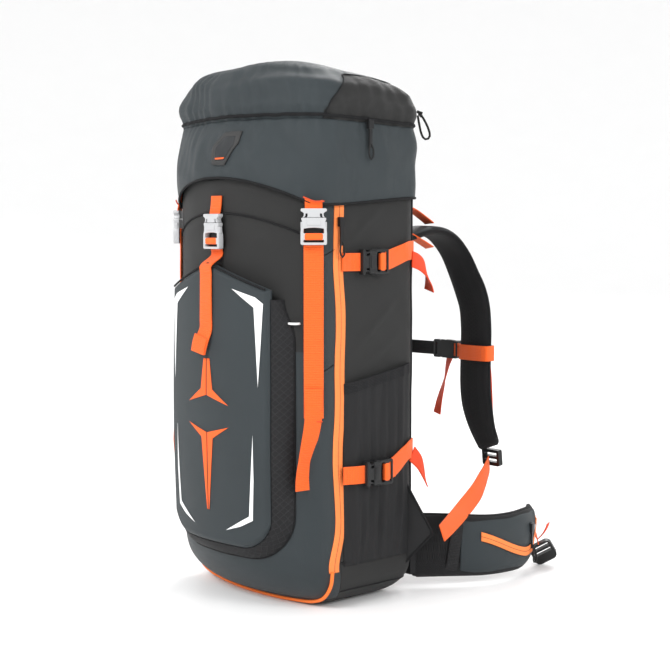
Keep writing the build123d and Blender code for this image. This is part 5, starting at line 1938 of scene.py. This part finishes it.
@dataclass
class Studio:
    """Camera, pale floor that curves up behind, and soft lights."""

    eye: tuple[float, float, float] = (1.46195, -1.22628, 0.490)
    heading: float = 48.0
    dip: float = 4.3
    lens: float = 75.2
    middle: tuple[float, float, float] = (0, 0.05, 0.35)
    sky: float = 0.95
    lights: tuple[tuple[str, tuple[float, float, float], float, float], ...] = (
        ("key", (0.2, -2.4, 2.1), 1.4, 62.0), ("side", (2.6, 0.6, 1.6), 1.2, 34.0),
        ("back", (-1.2, 2.2, 2.0), 1.4, 40.0))

    def camera(self) -> None:
        """Place the camera."""
        data = bpy.data.cameras.new("camera")
        data.lens = self.lens
        data.sensor_width = 36.0
        data.clip_start = 0.05
        thing = add_object("camera", data)
        turn, dip = math.radians(self.heading), math.radians(self.dip)
        ahead = Vector((-math.sin(turn) * math.cos(dip), math.cos(turn) * math.cos(dip), -math.sin(dip)))
        turned = ahead.to_track_quat("-Z", "Y").to_matrix().to_4x4()
        thing.matrix_world = Matrix.Translation(self.eye) @ turned
        bpy.context.scene.camera = thing

    def floor(self) -> None:
        """Lay the floor."""
        bm = bmesh.new()
        bmesh.ops.create_circle(bm, cap_ends=True, segments=96, radius=2.6)
        rim = [edge for edge in bm.edges if edge.is_boundary]
        for step in range(10):
            made = bmesh.ops.extrude_edge_only(bm, edges=rim)["geom"]
            ring = [item for item in made if isinstance(item, bmesh.types.BMVert)]
            rim = [item for item in made if isinstance(item, bmesh.types.BMEdge)]
            for vert in ring:
                flat = Vector((vert.co.x, vert.co.y, 0))
                vert.co += flat.normalized() * 0.55
                vert.co.z = 0.06 * (step + 1) ** 2
        bmesh.ops.recalc_face_normals(bm, faces=bm.faces[:])
        thing = object_from(bm, "floor", 80)
        thing.data.materials.append(PAPER.material())

    def light(self, name: str, spot: tuple[float, float, float], size: float, power: float) -> None:
        """Hang one soft light that faces the object."""
        data = bpy.data.lights.new(name, "AREA")
        data.size = size
        data.energy = power
        thing = add_object(name, data)
        aim = Vector(self.middle) - Vector(spot)
        thing.matrix_world = Matrix.Translation(spot) @ aim.to_track_quat("-Z", "Y").to_matrix().to_4x4()

    def build(self) -> None:
        """Set up the studio."""
        self.camera()
        self.floor()
        world = bpy.data.worlds.new("studio")
        world.use_nodes = True
        sky = world.node_tree.nodes["Background"]
        sky.inputs[0].default_value = (1.0, 1.0, 1.0, 1.0)
        sky.inputs[1].default_value = self.sky
        bpy.context.scene.world = world
        for lamp in self.lights:
            self.light(*lamp)
        bpy.context.scene.view_settings.view_transform = "Standard"


def lid_floor() -> None:
    """Floor of the lid's pocket, inside the skirt."""
    middle_y, level, fit = -0.004, 0.5755, 0.97

    def surface(u: float, v: float) -> Vector:
        """Return the floor's point, u round it and v from its edge to its middle."""
        flat = BAG.bare(u, PLAIN_H)
        keep = 1 - v
        return Vector((flat.x * fit * keep, middle_y + (flat.y - middle_y) * fit * keep, level - 0.002 * keep))

    Patch("lid_floor_cloth", surface, (-BACK_S, BACK_S), (0.0, 0.98), (120, 12), 1.2 * MM, closed=True).build(
        LINING, "lid", ["lid_pocket_floor"])


def kept_mouldings() -> None:
    """Finish the sternum buckle."""
    for node in ("sternum_socket", "sternum_plug"):
        finish_node(node, BLACK, 0.4 * MM)


def main() -> None:
    """Build the backpack and its studio."""
    logging.basicConfig(level=logging.INFO, format="%(name)s %(message)s")
    noise.seed_set(7)
    Studio().build()
    parts = [MainBag(), POCKET, *[SidePocket(name, side) for name, side in SIDES], Zips(), Closures(), LID,
             BackSystem(), *[ShoulderStrap(name, side) for name, side in SIDES],
             *[HipFin(name, side) for name, side in SIDES], Pulls()]
    for part in parts:
        part.build()
        LOG.info("built %s", type(part).__name__)
    lid_floor()
    kept_mouldings()
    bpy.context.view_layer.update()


if __name__ == "__main__":
    main()
